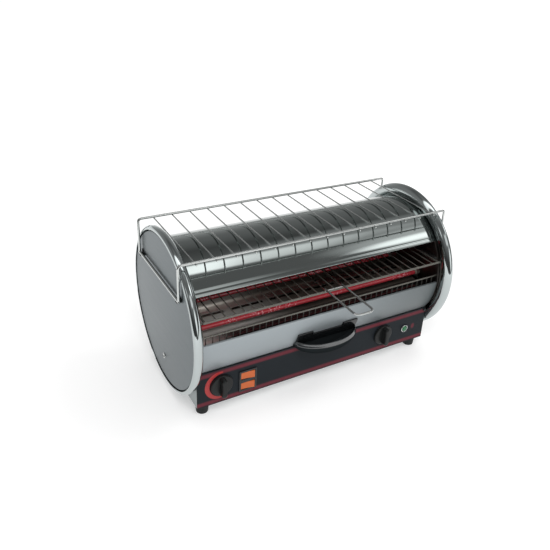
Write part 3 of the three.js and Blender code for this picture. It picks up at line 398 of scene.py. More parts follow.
def fascia_material():
    """Near black paint with two soft dull red border bands and a small soft mark of the same red."""
    red, gloss = (0.15, 0.030, 0.042), 0.12
    band_heights, band_edge, band_core = (101.0, 33.0), 7.0 * MM, 1.5 * MM
    mark_x, mark_z, mark_width, mark_height, mark_strength = 258.8, 66.4, 7, 9.5, 0.9
    material = shade("fascia_paint", (0.014, 0.018, 0.022), 0.5, 0, EVEN, 260, 0.05, 0.02, 0.08)
    graph = Graph(material.node_tree)
    graph.put(gloss, graph.surface(SPECULAR))
    z = graph.along("Z")
    bands = [graph.step(graph.do("ABSOLUTE", graph.do("SUBTRACT", z, height * MM)), band_edge, band_core)
             for height in band_heights]
    graph.tint(red, graph.do("MAXIMUM", *bands))
    mark = graph.add("Mapping", ("Vector", graph.position()),
                     ("Location", (-mark_x / mark_width, 0, -mark_z / mark_height)),
                     ("Scale", (1 / (mark_width * MM), 0, 1 / (mark_height * MM))))
    graph.tint(red, graph.step(graph.length(mark.outputs["Vector"]), 1.0, 0.35, mark_strength))
    return material


BRUSHED = brushed_material()
REFLECTOR_PAINTED_SHADE = reflector_painted_shade_material()
HANDLE = handle_material()
QUARTZ = quartz_material()
FASCIA = fascia_material()
KNOB_BLACK.node_tree.nodes["Principled BSDF"].inputs[SPECULAR].default_value = 0.26


def repaint(node, material):
    """Gives a CAD node that stays in sight a material of its own."""
    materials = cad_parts[node].data.materials
    materials.clear()
    materials.append(material)


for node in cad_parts:
    repaint(node, PLAIN)
repaint("control_fascia", FASCIA)
repaint("crumb_tray", MIRROR)
for node in ("switch_body", "cable_gland"):
    repaint(node, BLACK)
for node in ("terminal_block", "timer_control_body", "heat_control_body"):
    repaint(node, CERAMIC)
for side, _ in SIDES:
    for end in ("front", "rear"):
        repaint(f"{side}_{end}_rack_rest", RUBBER)


# Drum cover with its hemmed lip
def drum_cover():
    form = Form()
    end, steps = 180 + math.degrees(math.asin((AXIS_Z - BASE_TOP - SEAT) / DRUM_R)), 150
    hem = math.degrees(HEM_DEPTH / DRUM_R)
    # How deep the sheet dips where the hem ends, at shares of the hem's own angle
    dips = ((0, 0), (0, 0.6), (0.05, 0.85), (0.42, 1), (0.34, 1.2), (0, 1.9))
    edge = [(DRUM_R - depth, LIP_ANGLE + hem * share) for depth, share in dips]
    doubled, start = 4, LIP_ANGLE + hem * 2.2
    outer = [drum(*point) for point in edge] + arc(DRUM_R, start, end, steps)
    inner = ([drum(DRUM_R - 2 * COVER_SHEET, angle) for _, angle in edge[:doubled]]
             + [drum(DRUM_R - COVER_SHEET, angle) for _, angle in edge[doubled:]]
             + arc(DRUM_R - COVER_SHEET, start, end, steps))
    form.sheet_x(outer, inner, -COVER_HALF, COVER_HALF)
    bead, half = 1.5, CHAMBER_HALF - 0.4
    y, z = drum(DRUM_R - bead, LIP_ANGLE)
    form.wire([(-half, y, z), (half, y, z)], bead, 16)
    form.done("cover_sheet", "drum", POLISHED, ["drum_cover"])


# Round ends
def quarter(centre, halves, start, end, steps):
    """Points on an ellipse from one angle to another."""
    return [(centre[0] + halves[0] * math.cos(t), centre[1] + halves[1] * math.sin(t))
            for t in (math.radians(start + (end - start) * i / steps) for i in range(steps + 1))]


def rim_profile(sheet):
    """A web against the wall, curled back over the drum, domed out to the crest and round to a lip."""
    web, corner, gap, shoulder, turn, lip = 136, 1.2, 2, 159.5, 167.5, 166.7
    under, reach, crest = DRUM_R + gap + sheet, CHAMBER_HALF + SEAT + sheet, RIM_OUTER - RIM_ROUND
    return ([(web, RIM_INNER + sheet), (under - corner, RIM_INNER + sheet)]
            + quarter((shoulder, RIM_INNER), (under - shoulder, reach - RIM_INNER), 6, 90, 10)
            + quarter((shoulder, crest), (RIM_R - sheet - shoulder, reach - crest), 86, 0, 18)
            + quarter((turn, crest), (RIM_R - sheet - turn, RIM_ROUND - sheet), 6, 90, 12)
            + [(lip, RIM_OUTER - sheet)])


def rim(side, sign):
    form = Form()
    sheet, lip = 1.5, 166.4
    edge = [(lip, RIM_OUTER - 0.4), (lip, RIM_OUTER - 1.1)]
    form.lathe(rim_profile(0) + edge + rim_profile(sheet)[::-1], (0, 0, AXIS_Z), "x", sign, 180, closed=True)
    form.done(f"{side}_rim_ring", "drum", RIM_STEEL, [f"{side}_rim"], sharp=50)


def end_panel(side, sign):
    """A disc with a rounded edge and a flange down to its seat, and the slotted screw low on it."""
    form = Form()
    edge, seat, rounding, flange = PANEL_FACE - 5, 302.8, 2.4, 146.5
    centre, inner = (PANEL_R - rounding, PANEL_FACE - rounding), rounding - PANEL_SHEET
    back = PANEL_FACE - PANEL_SHEET
    profile = ([(CORE, PANEL_FACE)]
               + quarter(centre, (rounding, rounding), 90, 0, 8)
               + [(PANEL_R, edge), (PANEL_R - PANEL_SHEET, edge)]
               + quarter(centre, (inner, inner), 0, 90, 4)
               + [(flange, back), (flange, seat), (flange - PANEL_SHEET, seat), (flange - PANEL_SHEET, back),
                  (CORE, back)])
    form.lathe(profile, (0, 0, AXIS_Z), "x", sign, 180)
    form.done(f"{side}_end_disc", "drum", SATIN, [f"{side}_end_panel"])
    screw_z, slot_reach, slot_half, slot_low, slot_high = 80, 4.6, 0.9, 1.6, 3.0
    head = [(CORE, -0.1), (6.2, -0.1), (6.2, 0.8), (5.4, 1.9), (3.2, 2.7), (CORE, 2.9)]
    screw = Form()
    screw.lathe([(radius, PANEL_FACE + rise) for radius, rise in head], (0, 0, screw_z), "x", sign, 32)
    screw.done(f"{side}_panel_screw", "drum", CHROME)
    # The slot is a near black block in the head, painted shade for its depth.
    slot = Form()
    slot_faces = sorted(sign * (PANEL_FACE + rise) for rise in (slot_low, slot_high))
    slot.block(slot_faces, (-slot_reach, slot_reach), (screw_z - slot_half, screw_z + slot_half))
    slot.done(f"{side}_panel_screw_slot", "drum", SLOT_PAINTED_SHADE)


def side_wall(side, sign):
    form = Form()
    radius, sheet, bend, chord = DRUM_R - COVER_SHEET - SEAT, 1.2, 1.5, 0.45
    back = CHAMBER_HALF + sheet
    profile = [(CORE, CHAMBER_HALF), (radius - bend, CHAMBER_HALF), (radius - chord, CHAMBER_HALF + chord),
               (radius, CHAMBER_HALF + bend), (radius, COVER_HALF), (radius - sheet, COVER_HALF),
               (radius - sheet, back), (CORE, back)]
    form.lathe(profile, (0, 0, AXIS_Z), "x", sign, 180)
    # The wall discs take steel painted dark, as shade on the chamber's walls.
    form.done(f"{side}_wall_disc", "drum", WALL_PAINTED_SHADE, [f"{side}_side_wall"])


def reflectors():
    radius, sheet, steps = 139, 1, 60
    for part, start, end in (("upper", 43, 137), ("rear", 139.5, 206)):
        form = Form()
        form.sheet_x(arc(radius, start, end, steps), arc(radius - sheet, start, end, steps),
                     -REFLECTOR_HALF, REFLECTOR_HALF)
        form.done(f"{part}_reflector_sheet", "drum", REFLECTOR_PAINTED_SHADE, [f"{part}_reflector"])


def lower_reflector():
    """A waved sheet under the lower tubes, with two rows of slots for the crumbs."""
    half, reach, steps, middle_z, wave = 283.7, 134.2, 70, 172, 4.5
    slot_half_width, slot_half_length, slot_pitch, slot_count = 4.5, 38, 92, 6
    rows_y = [LOWER_TUBE_SHIFT + share * LOWER_TUBE_PITCH for share in (-0.5, 0.5)]
    gaps = [(y - slot_half_width, y + slot_half_width) for y in rows_y]
    places = {round(-reach + 2 * reach * i / steps, 3) for i in range(steps + 1)}
    places = sorted(places | {y for gap in gaps for y in gap})
    slots_x = [(i - (slot_count - 1) / 2) * slot_pitch for i in range(slot_count)]
    slots = [(x - slot_half_length, x + slot_half_length) for x in slots_x]
    columns = sorted({-half, half} | {x for slot in slots for x in slot})

    def height(y, side):
        return middle_z - wave * math.cos(2 * math.pi * (y - LOWER_TUBE_SHIFT) / LOWER_TUBE_PITCH) - side

    def is_open(i, j):
        if i < 0 or j < 0 or i >= len(columns) - 1 or j >= len(places) - 1:
            return True
        x, y = (columns[i] + columns[i + 1]) / 2, (places[j] + places[j + 1]) / 2
        return any(a < y < b for a, b in gaps) and any(a < x < b for a, b in slots)

    form = Form()
    rows = len(places)
    points = [(x, y, height(y, side)) for side in (0, 1) for x in columns for y in places]
    total = len(columns) * rows
    faces = []
    for i in range(len(columns) - 1):
        for j in range(rows - 1):
            if is_open(i, j):
                continue
            a, b, c, d = i * rows + j, (i + 1) * rows + j, (i + 1) * rows + j + 1, i * rows + j + 1
            faces += [[a, b, c, d], [total + d, total + c, total + b, total + a]]
            edges = ((a, b), (b, c), (c, d), (d, a))
            for (u, v), beside in zip(edges, ((i, j - 1), (i + 1, j), (i, j + 1), (i - 1, j))):
                if is_open(*beside):
                    faces.append([v, u, total + u, total + v])
    form.shell(points, faces)
    form.done("lower_reflector_sheet", "drum", REFLECTOR_PAINTED_SHADE, ["lower_reflector"])


# Quartz tubes: plain rods, whose material shows the coil as painted pale glints, with ceramic ends
def quartz_tubes():
    end, cover, tube_r, upper_z, upper_pitch = CHAMBER_HALF - 0.7, 11, 5.5, 286, 82
    glass = [(CORE, cover - end), (tube_r, cover - end), (tube_r, end - cover), (CORE, end - cover)]
    # Radius of the ceramic end and how far back it is from the tip
    cap = ((CORE, 0), (6.8, 0), (7.3, 0.8), (7.3, 9), (6.6, 10.5), (6.6, 12.5), (CORE, 12.5))
    for row, z, shift, pitch in (("upper", upper_z, 0, upper_pitch),
                                 ("lower", LOWER_TUBE_Z, LOWER_TUBE_SHIFT, LOWER_TUBE_PITCH)):
        for place_name, y in (("front", shift - pitch), ("middle", shift), ("rear", shift + pitch)):
            tube = Form()
            tube.lathe(glass, (0, y, z), "x", 1, 32)
            tube.done(f"{row}_{place_name}_tube", "drum", QUARTZ, [f"{row}_{place_name}_quartz_tube"])
            caps = Form()
            for _, sign in SIDES:
                caps.lathe([(radius, end - back) for radius, back in cap], (0, y, z), "x", sign, 28)
            caps.done(f"{row}_{place_name}_tube_ends", "drum", CERAMIC)


# Guards
RAIL_R = 1.8
GUARD_WIRE_R = 1.1


def rail(form, y, z):
    form.wire([(-REFLECTOR_HALF, y, z), (REFLECTOR_HALF, y, z)], RAIL_R, 12)


def guards():
    reach, level, count = 95, 274.5, 13
    upper = Form()
    for y in (-reach, reach):
        rail(upper, y, level)
    for i in range(count):
        x = (i - (count - 1) / 2) * 2 * CHAMBER_HALF / count
        upper.wire([(x, -reach, level), (x, reach, level)], GUARD_WIRE_R, 8)
    upper.done("upper_guard_wires", "drum", GRID_WIRE, ["upper_guard"])
    y, high, low, pitch, count = -141, 203.5, LOWER_TUBE_Z, 14.3, 40
    lower = Form()
    rail(lower, y, high)
    lower.done("lower_guard_rail", "drum", GRID_WIRE)
    bars = Form()
    rail(bars, y, low)
    for i in range(count):
        x = (i - (count - 1) / 2) * pitch
        bars.wire([(x, y, low), (x, y, high)], GUARD_WIRE_R, 8)
    bars.done("lower_guard_bars", "drum", GUARD_WIRE, ["lower_guard"])


# Toasting grid, with the bow that pulls it out
def toasting_grid():
    z, front, rear, half, rail_half = 242.0, -149, 106, 283.6, 288
    front_r, side_r, wire_r, bow_r = 2.5, 2.3, 1.25, 2.1
    pitch, count, wire_front, wire_rear = 20.2, 27, -150.2, 107
    form = Form()
    form.wire([(-rail_half, front, z), (rail_half, front, z)], front_r, 16)
    form.wire([(-half, rear, z), (half, rear, z)], side_r, 14)
    for x in (-half, half):
        form.wire([(x, front, z), (x, rear, z)], side_r, 14)
    top = z + side_r + wire_r - WELD
    for i in range(count):
        x = (i - (count - 1) / 2) * pitch
        form.wire([(x, wire_front, top), (x, wire_rear, top)], wire_r, 10)
    form.done("grid_wires", "grid", GRID_WIRE, ["toasting_grid"])
    bow_half, bow_front, bow_rear, corner = 21, -255.8, -24, 13
    high = top + wire_r + bow_r - WELD
    corners = [(-bow_half, bow_rear, high), (-bow_half, bow_front, high), (bow_half, bow_front, high),
               (bow_half, bow_rear, high)]
    bow = Form()
    bow.wire(bent(corners, [corner, corner], 12), bow_r, 14)
    for y in (front, bow_rear):
        bow.wire([(-bow_half, y, top), (bow_half, y, top)], wire_r, 10)
        for x in (-bow_half, bow_half):
            bow.wire([(x, y, z), (x, y, high)], wire_r, 8)
    bow.done("grid_bow", "grid", CHROME)


# Crumb tray's front: a rolled sheet with a folded top edge and a return at the bottom
def tray_front():
    form = Form()
    half, top, low, sheet, fold, end_y, steps = 290.2, -0.9, 110.4, 1.0, 4.6, -120.3, 50
    bottom = math.degrees(math.asin((low - AXIS_Z) / DRUM_R))
    outer = arc(DRUM_R, top, bottom, steps)
    inner = arc(DRUM_R - sheet, top, bottom, steps)
    y, z = outer[0]
    outer_fold = [(y + fold, z + 0.05), (y + 1.1, z + 0.05), (y + 0.35, z - 0.1)]
    inner_fold = [(y + fold, z - 0.95), (y + 1.6, z - 0.95), (y + 1.15, z - 1.3)]
    outer = outer_fold + outer[1:] + [(end_y, outer[-1][1])]
    inner = inner_fold + inner[1:-1]
    inner += [(inner[-1][0] + 0.4, outer[-2][1] + sheet), (end_y, outer[-1][1] + sheet)]
    form.sheet_x(outer, inner, -half, half)
    bead, bead_rise, bead_half = 1.15, 1.2, half - 0.1
    y, z = drum(DRUM_R - sheet, bottom)
    form.wire([(-bead_half, y, z + bead_rise), (bead_half, y, z + bead_rise)], bead, 12)
    form.done("tray_front_sheet", "tray", BRUSHED, ["tray_front"])


def fascia_screws():
    """The small black screw at each end of the base's front, just under the tray's front."""
    x, z, sunk = 288.2, 104.0, 0.2
    head = [(CORE, -3.4), (3.2, -3.2), (3.9, -2.2), (3.9, 0), (CORE, 0)]
    form = Form()
    for _, sign in SIDES:
        form.lathe(head, (sign * x, FRONT_Y - sunk, z), "y", 1, 20)
    form.done("fascia_screws", "drum", BLACK)


# Knobs
def knob(name, x, body):
    """A turned skirt and a grip that is waisted from the front, with round ends."""
    back, skirt = FRONT_Y - 0.6, 6.0
    form = Form()
    form.lathe([(CORE, 0), (23.2, 0), (24, 0.8), (24, 4.0), (23.6, 5.0), (22.6, 5.8), (21.4, skirt),
                (CORE, skirt)], (x, back, KNOB_Z), "y", -1, 72)
    form.done(f"{name}_knob_skirt", body, KNOB_BLACK, [f"{name}_knob"])
    half, waist, reach, bulge, steps, turn = 6, 4.0, 17, 5.6, 12, 15
    side = []
    for i in range(steps + 1):
        t = i / steps
        side.append((half * (1 - t) ** 2 + 2 * waist * t * (1 - t) + half * t ** 2, reach - 2 * reach * t))
    turns = [math.radians(turn * i) for i in range(1, 180 // turn)]
    end = [(half * math.cos(a), -reach - bulge * math.sin(a)) for a in turns]
    outline = side + end + [(-u, -v) for u, v in side] + [(-u, -v) for u, v in end]
    grip = Form()
    grip.grid([[(x + u * share, back - depth, KNOB_Z + v * (0.4 + 0.6 * share)) for u, v in outline]
               for depth, share in ((5.8, 1.0), (16.5, 0.94), (18.8, 0.89), (19.8, 0.78), (20.0, 0.6))])
    grip.done(f"{name}_knob_grip", body, KNOB_BLACK, sharp=40)


def timer_scale():
    """The printed half ring round the timer, thick at the left and thin at both ends."""
    middle_r, start, sweep, thin, swell, drop = 30.5, 82, 190, 1.2, 3.8, 1
    print_front, print_back, steps = 0.16, 0.01, 60
    outer, inner = [], []
    for i in range(steps + 1):
        t = i / steps
        angle = math.radians(start + sweep * t)
        half = thin + swell * math.sin(math.pi * t) ** 0.6
        for ring, radius in ((outer, middle_r + half), (inner, middle_r - half)):
            ring.append((TIMER_X + radius * math.cos(angle), KNOB_Z - drop + radius * math.sin(angle)))
    count = len(outer)
    points = [(x, FRONT_Y - lift, z) for lift in (print_front, print_back) for x, z in outer + inner]
    faces = []
    for i in range(count - 1):
        a, b, c, d = i, i + 1, count + i + 1, count + i
        faces += [[a, b, c, d], [2 * count + d, 2 * count + c, 2 * count + b, 2 * count + a],
                  [a, 2 * count + a, 2 * count + b, b], [d, c, 2 * count + c, 2 * count + d]]
    last = count - 1
    faces += [[0, count, 3 * count, 2 * count], [last, 2 * count + last, 3 * count + last, count + last]]
    form = Form()
    form.shell(points, faces)
    form.done("timer_scale", "drum", RED_PRINT)


# Switches
def rocker(name, body, x, z, half, tall):
    """An orange key, low in the middle, tipped about its pivot."""
    tilt, pivot_y = math.radians(-8), FRONT_Y + 2.6
    front = [(-half, -6.1), (-half * 0.6, -5.4), (0, -4.8), (half * 0.6, -5.4), (half, -6.1)]
    back = [(half, 1.4), (0, 3.6), (-half, 1.4)]
    cos, sin = math.cos(tilt), math.sin(tilt)
    outline = [(x + u * cos - v * sin, pivot_y + u * sin + v * cos) for u, v in front + back]
    form = Form()
    form.prism(outline, z - tall / 2, z + tall / 2, "z")
    form.done(f"{name}_key", body, ORANGE, [name], bevel=0.7)


def switches():
    pitch, height, length, middle_x, middle_z, margin = 25.5, 16.5, 30.0, -180.5, 62.5, 4.0
    window, tall = length / 2 + 1, height / 2 + SEAT
    rocker("upper_rocker", "upper_switch", middle_x, middle_z + pitch / 2, length / 2, height)
    rocker("lower_rocker", "lower_switch", middle_x, middle_z - pitch / 2, length / 2, height)
    back, front = FRONT_Y - SEAT, FRONT_Y - 2.7
    half_x, half_z = window + margin, (pitch + 2 * tall) / 2 + margin
    bars = [((-half_x, -window), (-half_z, half_z)), ((window, half_x), (-half_z, half_z)),
            ((-window, window), (-half_z, margin - half_z)), ((-window, window), (half_z - margin, half_z)),
            ((-window, window), (-pitch / 2 + tall, pitch / 2 - tall))]
    form = Form()
    for (x0, x1), (z0, z1) in bars:
        form.block((x0 + middle_x, x1 + middle_x), (front, back), (z0 + middle_z, z1 + middle_z))
    form.done("switch_bezel", "drum", BLACK, ["switch_frame"], bevel=0.4)


def lamp():
    spot = (232.5, FRONT_Y, 67)
    ring = [(7.9, -2), (8, 0.3), (9.5, 0.3), (9.5, 2.0), (9.2, 2.7), (8.7, 3.15), (8.1, 3.3), (7.5, 3.0),
            (7.25, 2.3), (7.2, -6), (7.9, -6)]
    lens = [(CORE, -5), (7, -5), (7, 2.3), (6.6, 3.2), (5.4, 4.1), (3.4, 4.7), (CORE, 4.95)]
    form = Form()
    form.lathe(ring, spot, "y", -1, 48, closed=True)
    form.done("lamp_ring", "drum", CHROME, ["lamp_bezel"])
    form = Form()
    form.lathe(lens, spot, "y", -1, 40)
    form.done("lamp_cap", "drum", GREEN, ["lamp_lens"])


# Pull handle: half-moon cup open at the top, and the flange that holds it on the tray's front
def pull_cup():
    base_z, half, reach, depth, wall_height, wall = 122.0, 78, 47, 32.5, 8.5, 3.4
    set_y = 6.3 - math.sqrt(DRUM_R ** 2 - (base_z + wall_height - AXIS_Z) ** 2)
    steps, bowl_steps, past_half_turn, off_sheet, off_fascia, fascia_top = 80, 14, 0.08, 0.35, 0.7, 109.6

    def ring(share, height, shrink=0.0):
        """A bent row of points at one height, held off the sheet behind it."""
        points = []
        for i in range(steps + 1):
            t = math.pi * (i / steps * (1 + 2 * past_half_turn) - past_half_turn)
            z = base_z + height
            x = (half - shrink) * share * math.cos(t)
            y = set_y - (reach - shrink) * share * math.sin(t)
            panel = math.sqrt(max((DRUM_R + off_sheet) ** 2 - (z - AXIS_Z) ** 2, 0))
            limit = -panel if z > fascia_top else min(-panel, FRONT_Y - off_fascia)
            points.append((x, min(y, limit), z))
        return points

    def bowl(shrink):
        return [(math.sin(t), -(depth - shrink) * math.cos(t))
                for t in (math.pi / 2 * (j + 0.02) / bowl_steps for j in range(bowl_steps))]

    shoulder = ((1, 0.6), (0.998, 1.6), (0.990, 2.7), (0.978, 5.0), (0.972, 7.2), (0.967, 8.1),
                (0.961, wall_height))
    outer = [ring(*level) for level in bowl(0) + list(shoulder)]
    inner = [ring(*level, wall) for level in bowl(wall) + [(1, 6.0), (1, 7.8), (1.004, 8.3)]]
    rows = outer + inner[::-1]
    count = steps + 1
    faces = []
    for i in range(len(rows) - 1):
        for j in range(count - 1):
            a, b = i * count + j, (i + 1) * count + j
            faces.append([a, a + 1, b + 1, b])
    for j in range(len(rows) // 2):
        for k in (0, count - 1):
            a, b = j * count + k, (len(rows) - 1 - j) * count + k
            c, d = a + count, b - count
            if c < d:
                faces.append([a, c, d, b] if k else [b, d, c, a])
    form = Form()
    form.shell([p for row in rows for p in row], faces)
    plate_half, plate_start, plate_sweep, plate_steps, plate_depth = 75.4, 1.055, 0.89, 24, depth - wall + 0.6
    plate = []
    for i in range(plate_steps + 1):
        t = math.pi * (plate_start + plate_sweep * i / plate_steps)
        plate.append((plate_half * math.cos(t), base_z + plate_depth * math.sin(t)))
    form.prism(plate, set_y - 0.1, set_y + 1.3, "y")
    form.done("pull_handle_cup", "tray", HANDLE, ["tray_handle"], sharp=60)


def pull_flange():
    """Lies on the sheet behind the cup, with a tab at each side and a notch between them."""
    tab_top, notch_edge, notch_top, low_z = 149.5, (149.2, 148.0, 143.0), 141.0, 116
    under, over = DRUM_R + 0.35, DRUM_R + 3.3
    tab_corner = {75: 1.6, 74.7: 0.8, 74: 0.25}
    columns = ([-75, -74.7, -74, -72.5] + [-70 + 4 * i for i in range(8)] + [-38.6, -37.7, -37.1, -36.5]
               + [-32 + 8 * i for i in range(4)])
    rings = []
    for x in sorted({sign * column for column in columns for sign in (-1, 1)} | {0}):
        far = abs(x)
        if far > 38.6:
            top = tab_top - tab_corner.get(far, 0)
        elif far > 36.5:
            top = notch_edge[0 if far > 38 else 1 if far > 37.5 else 2]
        else:
            top = notch_top
        high, low = (math.degrees(math.asin((z - AXIS_Z) / over)) for z in (top, low_z))
        edge = [(over, high - 0.45), (DRUM_R + 2.9, high - 0.12), (DRUM_R + 2.2, high), (under, high)]
        loop = (arc(over, low, high - 0.8, 8) + [drum(*point) for point in edge]
                + arc(under, high - 0.8, low, 8))
        rings.append([(x, y, z) for y, z in loop])
    form = Form()
    form.grid(rings)
    form.done("pull_handle_flange", "tray", BLACK, sharp=40)


# Warming rack
def warming_rack():
    half, top, foot, corner, front, rear = 317.0, 346.8, 272.4, 7, -107.0, 115.5
    frame_r, rod_r, cross_r, pitch, count = 2.6, 2.9, 1.6, 40.4, 15
    form = Form()
    for y in (front, rear):
        path = [(-half, y, foot), (-half, y, top), (half, y, top), (half, y, foot)]
        form.wire(bent(path, [corner, corner], 10), frame_r, 16)
    form.done("rack_frame", "rack", CHROME, ["warming_rack"])
    rods = Form()
    for x in (-half + 0.1, half - 0.1):
        rods.wire([(x, front - frame_r, foot), (x, rear + frame_r, foot)], rod_r, 16)
    level, past = top - frame_r - cross_r + WELD, 5
    for i in range(count):
        x = (i - (count - 1) / 2) * pitch
        rods.wire([(x, front - past, level), (x, rear + past, level)], cross_r, 12)
    rods.done("rack_rods", "rack", CHROME)


def feet():
    x, y, top = 273, 106, 25.7
    profile = [(CORE, 0), (9.8, 0), (11.5, 0.35), (12.4, 1.3), (12.8, 3.2), (13.5, 11), (14.4, 20),
               (14.9, 24.7), (14.6, 25.5), (14.0, top), (CORE, top)]
    for side, sign in SIDES:
        for end, way in (("front", -1), ("rear", 1)):
            form = Form()
            form.lathe(profile, (sign * x, way * y, 0), "z", 1, 48)
            form.done(f"{side}_{end}_foot_cap", "drum", RUBBER, [f"{side}_{end}_foot"])


drum_cover()
for side, sign in SIDES:
    rim(side, sign)
    end_panel(side, sign)
    side_wall(side, sign)
reflectors()
lower_reflector()
quartz_tubes()
guards()
toasting_grid()
tray_front()
fascia_screws()
knob("timer", TIMER_X, "timer")
knob("heat", HEAT_X, "heat")
timer_scale()
switches()
lamp()
pull_cup()
pull_flange()
warming_rack()
feet()


# Studio: floor, light and camera
def floor_material():
    """White, with a glow for camera, mirror and glass rays only."""
    albedo, glow_near, glow_far, near, far = 0.70, 0.36, 0.52, 0.5, 1.5
    material = shade("floor_white", (albedo, albedo, albedo), 0.8, 0, EVEN, 30, 0.05, 0.0, 0.004)
    graph = Graph(material.node_tree)
    graph.put(0.0, graph.surface(SPECULAR))
    rays = graph.add("LightPath").outputs
    straight = graph.do("MAXIMUM", graph.do("MAXIMUM", rays["Is Camera Ray"], rays["Is Glossy Ray"]),
                        rays["Is Transmission Ray"])
    glow = graph.step(graph.length(graph.position()), near, far, glow_far, glow_near)
    lift = graph.add("Emission", ("Color", (1, 1, 1, 1)), ("Strength", graph.do("MULTIPLY", straight, glow)))
    paint = graph.nodes["Principled BSDF"].outputs["BSDF"]
    both = graph.add("AddShader", (0, paint), (1, lift.outputs["Emission"]))
    graph.put(both.outputs["Shader"], graph.nodes["Material Output"].inputs["Surface"])
    return material


def toward(azimuth, elevation):
    """A direction: azimuth 0 is the back, 90 the right, 180 the front."""
    a, e = math.radians(azimuth), math.radians(elevation)
    return Vector((math.sin(a) * math.cos(e), math.cos(a) * math.cos(e), math.sin(e)))


# Azimuth, elevation, full and fading radius of a soft bright patch in degrees, and its strength
PATCHES = ((125, 36.5, 3.5, 9, 2.0), (117, 41, 2, 13, 0.8), (88, 12, 2, 7, 0.9), (-108, 24, 2, 8, 1.0),
           (160, 8, 6, 22, 1.4), (88, 57, 3, 15, 0.35))
# Level of the room by the sine of the elevation, behind and in front of the toaster
BEHIND = [(0.0, 0.22), (0.2, 0.27), (0.4, 0.28), (0.6, 0.25), (0.72, 0.20), (0.82, 0.12), (0.9, 0.16),
          (1.0, 0.28)]
FRONT = [(0.0, 0.06), (0.08, 0.07), (0.16, 0.12), (0.28, 0.17), (0.42, 0.24), (0.7, 0.20), (0.85, 0.20),
         (0.95, 0.34), (1.0, 0.28)]
# Level of the pale sweep, which is brightest straight behind, and of the strip overhead, from left to right
SWEEP = [(0.85, 0.0), (0.92, 0.06), (0.95, 0.14), (0.985, 0.28), (1.0, 0.40)]
STRIP = [(0.02, 0.0), (0.10, 0.8), (0.30, 1.4), (0.46, 1.8), (0.576, 2.4), (0.592, 1.3), (0.62, 0.95),
         (0.648, 0.3), (0.68, 0.3), (0.76, 0.1), (0.80, 0.0)]
SWEEP_AZIMUTH = 12
BAND_AZIMUTH = 176


def room_light(graph, direction):
    """The studio as metal and glass show it: a pale sweep behind, a dim front, and soft bright patches."""
    split = graph.add("SeparateXYZ", ("Vector", direction))
    x, y, z = (split.outputs[name] for name in ("X", "Y", "Z"))
    do, step = graph.do, graph.step
    # Where each part of the room fades in or out, as the values between which it steps
    sweep_fades, front_to_back, floor_rim = (0.55, 0.0), (-0.35, 0.35), (0.035, 0.02)
    band_sides, band_bottom, band_top, band_strength = (0.84, 0.94), (0.43, 0.50), (0.71, 0.66), 0.85
    strip_slope, strip_sides, strip_bottom = 0.26, (0.17, 0.09), (0.1, 0.3)
    level = do("SQRT", do("MAXIMUM", do("SUBTRACT", 1.0, do("MULTIPLY", z, z)), 0.0001))

    def facing(azimuth):
        """Cosine of the angle, seen from above, between a ray and an azimuth."""
        a = math.radians(azimuth)
        return do("DIVIDE", do("ADD", do("MULTIPLY", x, math.sin(a)), do("MULTIPLY", y, math.cos(a))), level)

    height = do("MAXIMUM", z, 0.0)
    back = facing(SWEEP_AZIMUTH)
    sweep = graph.ramp(do("MULTIPLY_ADD", back, 0.5, 0.5), SWEEP)
    behind = do("ADD", graph.ramp(height, BEHIND), do("MULTIPLY", sweep, step(height, *sweep_fades)))
    share = step(back, *front_to_back)
    total = do("ADD", do("MULTIPLY", behind, share),
               do("MULTIPLY", graph.ramp(height, FRONT), do("SUBTRACT", 1.0, share)))
    band_height = do("MULTIPLY", step(z, *band_bottom), step(z, *band_top, band_strength))
    total = do("ADD", total, do("MULTIPLY", step(facing(BAND_AZIMUTH), *band_sides), band_height))
    safe = do("MAXIMUM", z, 0.05)
    along, across = do("DIVIDE", x, safe), do("DIVIDE", y, safe)
    strip = graph.ramp(do("MULTIPLY_ADD", along, 0.2, 0.5), STRIP)
    slant = do("ABSOLUTE", do("MULTIPLY_ADD", along, strip_slope, across))
    strip = do("MULTIPLY", strip, step(slant, *strip_sides))
    total = do("ADD", total, do("MULTIPLY", strip, step(z, *strip_bottom)))
    for azimuth, elevation, core, edge, strength in PATCHES:
        centre = toward(azimuth, elevation)
        near = graph.add("VectorMath", (0, direction), (1, centre), operation="DOT_PRODUCT")
        total = do("ADD", total, step(near.outputs["Value"], math.cos(math.radians(edge)),
                                      math.cos(math.radians(core)), strength))
    rim_of_floor = do("MULTIPLY", step(z, *floor_rim), share)
    return do("MAXIMUM", total, rim_of_floor)


def add_floor(scene):
    """The floor ends near the toaster at the left and in front, where its metal shows the dim room."""
    left, front, far = -1.05, -1.15, 40
    mesh = bpy.data.meshes.new("floor")
    mesh.from_pydata([(left, front, 0), (far, front, 0), (far, far, 0), (left, far, 0)], [], [[0, 1, 2, 3]])
    floor = bpy.data.objects.new("floor", mesh)
    scene.collection.objects.link(floor)
    mesh.materials.append(floor_material())


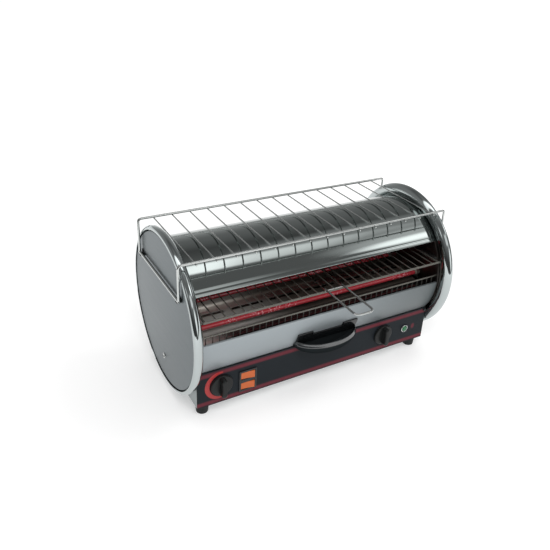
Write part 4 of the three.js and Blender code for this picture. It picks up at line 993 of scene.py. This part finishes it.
def add_world(scene):
    """Even white light for matt surfaces, and the drawn room for all other rays."""
    even_light = 0.72
    world = bpy.data.worlds.new("studio")
    scene.world = world
    world.use_nodes = True
    world.node_tree.nodes.clear()
    graph = Graph(world.node_tree)
    direction = graph.add("TexCoord").outputs["Generated"]
    room = graph.add("Background", ("Color", room_light(graph, direction)))
    soft = graph.add("Background", ("Color", (1, 1, 1, 1)), ("Strength", even_light))
    both = graph.add("MixShader", ("Fac", graph.add("LightPath").outputs["Is Diffuse Ray"]),
                     (1, room.outputs["Background"]), (2, soft.outputs["Background"]))
    graph.add("OutputWorld", ("Surface", both.outputs["Shader"]))


def softbox(scene, name, azimuth, elevation, power):
    """A lamp that faces the toaster and leaves no reflection on it."""
    distance, width, height, aim = 2.6, 1.2, 0.9, Vector((0, 0, 0.2))
    light = bpy.data.lights.new(name, "AREA")
    light.shape = "RECTANGLE"
    light.size, light.size_y = width, height
    light.energy = power
    obj = bpy.data.objects.new(name, light)
    scene.collection.objects.link(obj)
    obj.location = toward(azimuth, elevation) * distance + aim
    obj.rotation_euler = toward(azimuth, elevation).to_track_quat("Z", "Y").to_euler()
    obj.visible_glossy = False


def add_camera(scene):
    """The camera that was fitted to the photograph, with its focal length and shift in pixels."""
    picture, focal, shift_x, shift_y, sensor = 550, 614.85, -5, -30, 36
    azimuth, elevation, roll = (math.radians(v) for v in (-30.97, 26.39, 3.07))
    back = Vector((math.sin(azimuth) * math.cos(elevation), -math.cos(azimuth) * math.cos(elevation),
                   math.sin(elevation)))
    right = Vector((math.cos(azimuth), math.sin(azimuth), 0))
    up = back.cross(right)
    right, up = (right * math.cos(roll) + up * math.sin(roll), up * math.cos(roll) - right * math.sin(roll))
    data = bpy.data.cameras.new("camera")
    data.sensor_width = sensor
    data.lens = focal / picture * sensor
    data.shift_x = shift_x / picture
    data.shift_y = shift_y / picture
    camera = bpy.data.objects.new("camera", data)
    scene.collection.objects.link(camera)
    spot = place(-654.7, -1017.8, 873.6)
    camera.matrix_world = Matrix((
        (right.x, up.x, back.x, spot.x),
        (right.y, up.y, back.y, spot.y),
        (right.z, up.z, back.z, spot.z),
        (0, 0, 0, 1)))
    scene.camera = camera


def studio():
    scene = bpy.context.scene
    add_floor(scene)
    add_world(scene)
    softbox(scene, "key", 200, 52, 22)
    softbox(scene, "fill", 104, 60, 12)
    add_camera(scene)
    scene.view_settings.view_transform = "Standard"


studio()
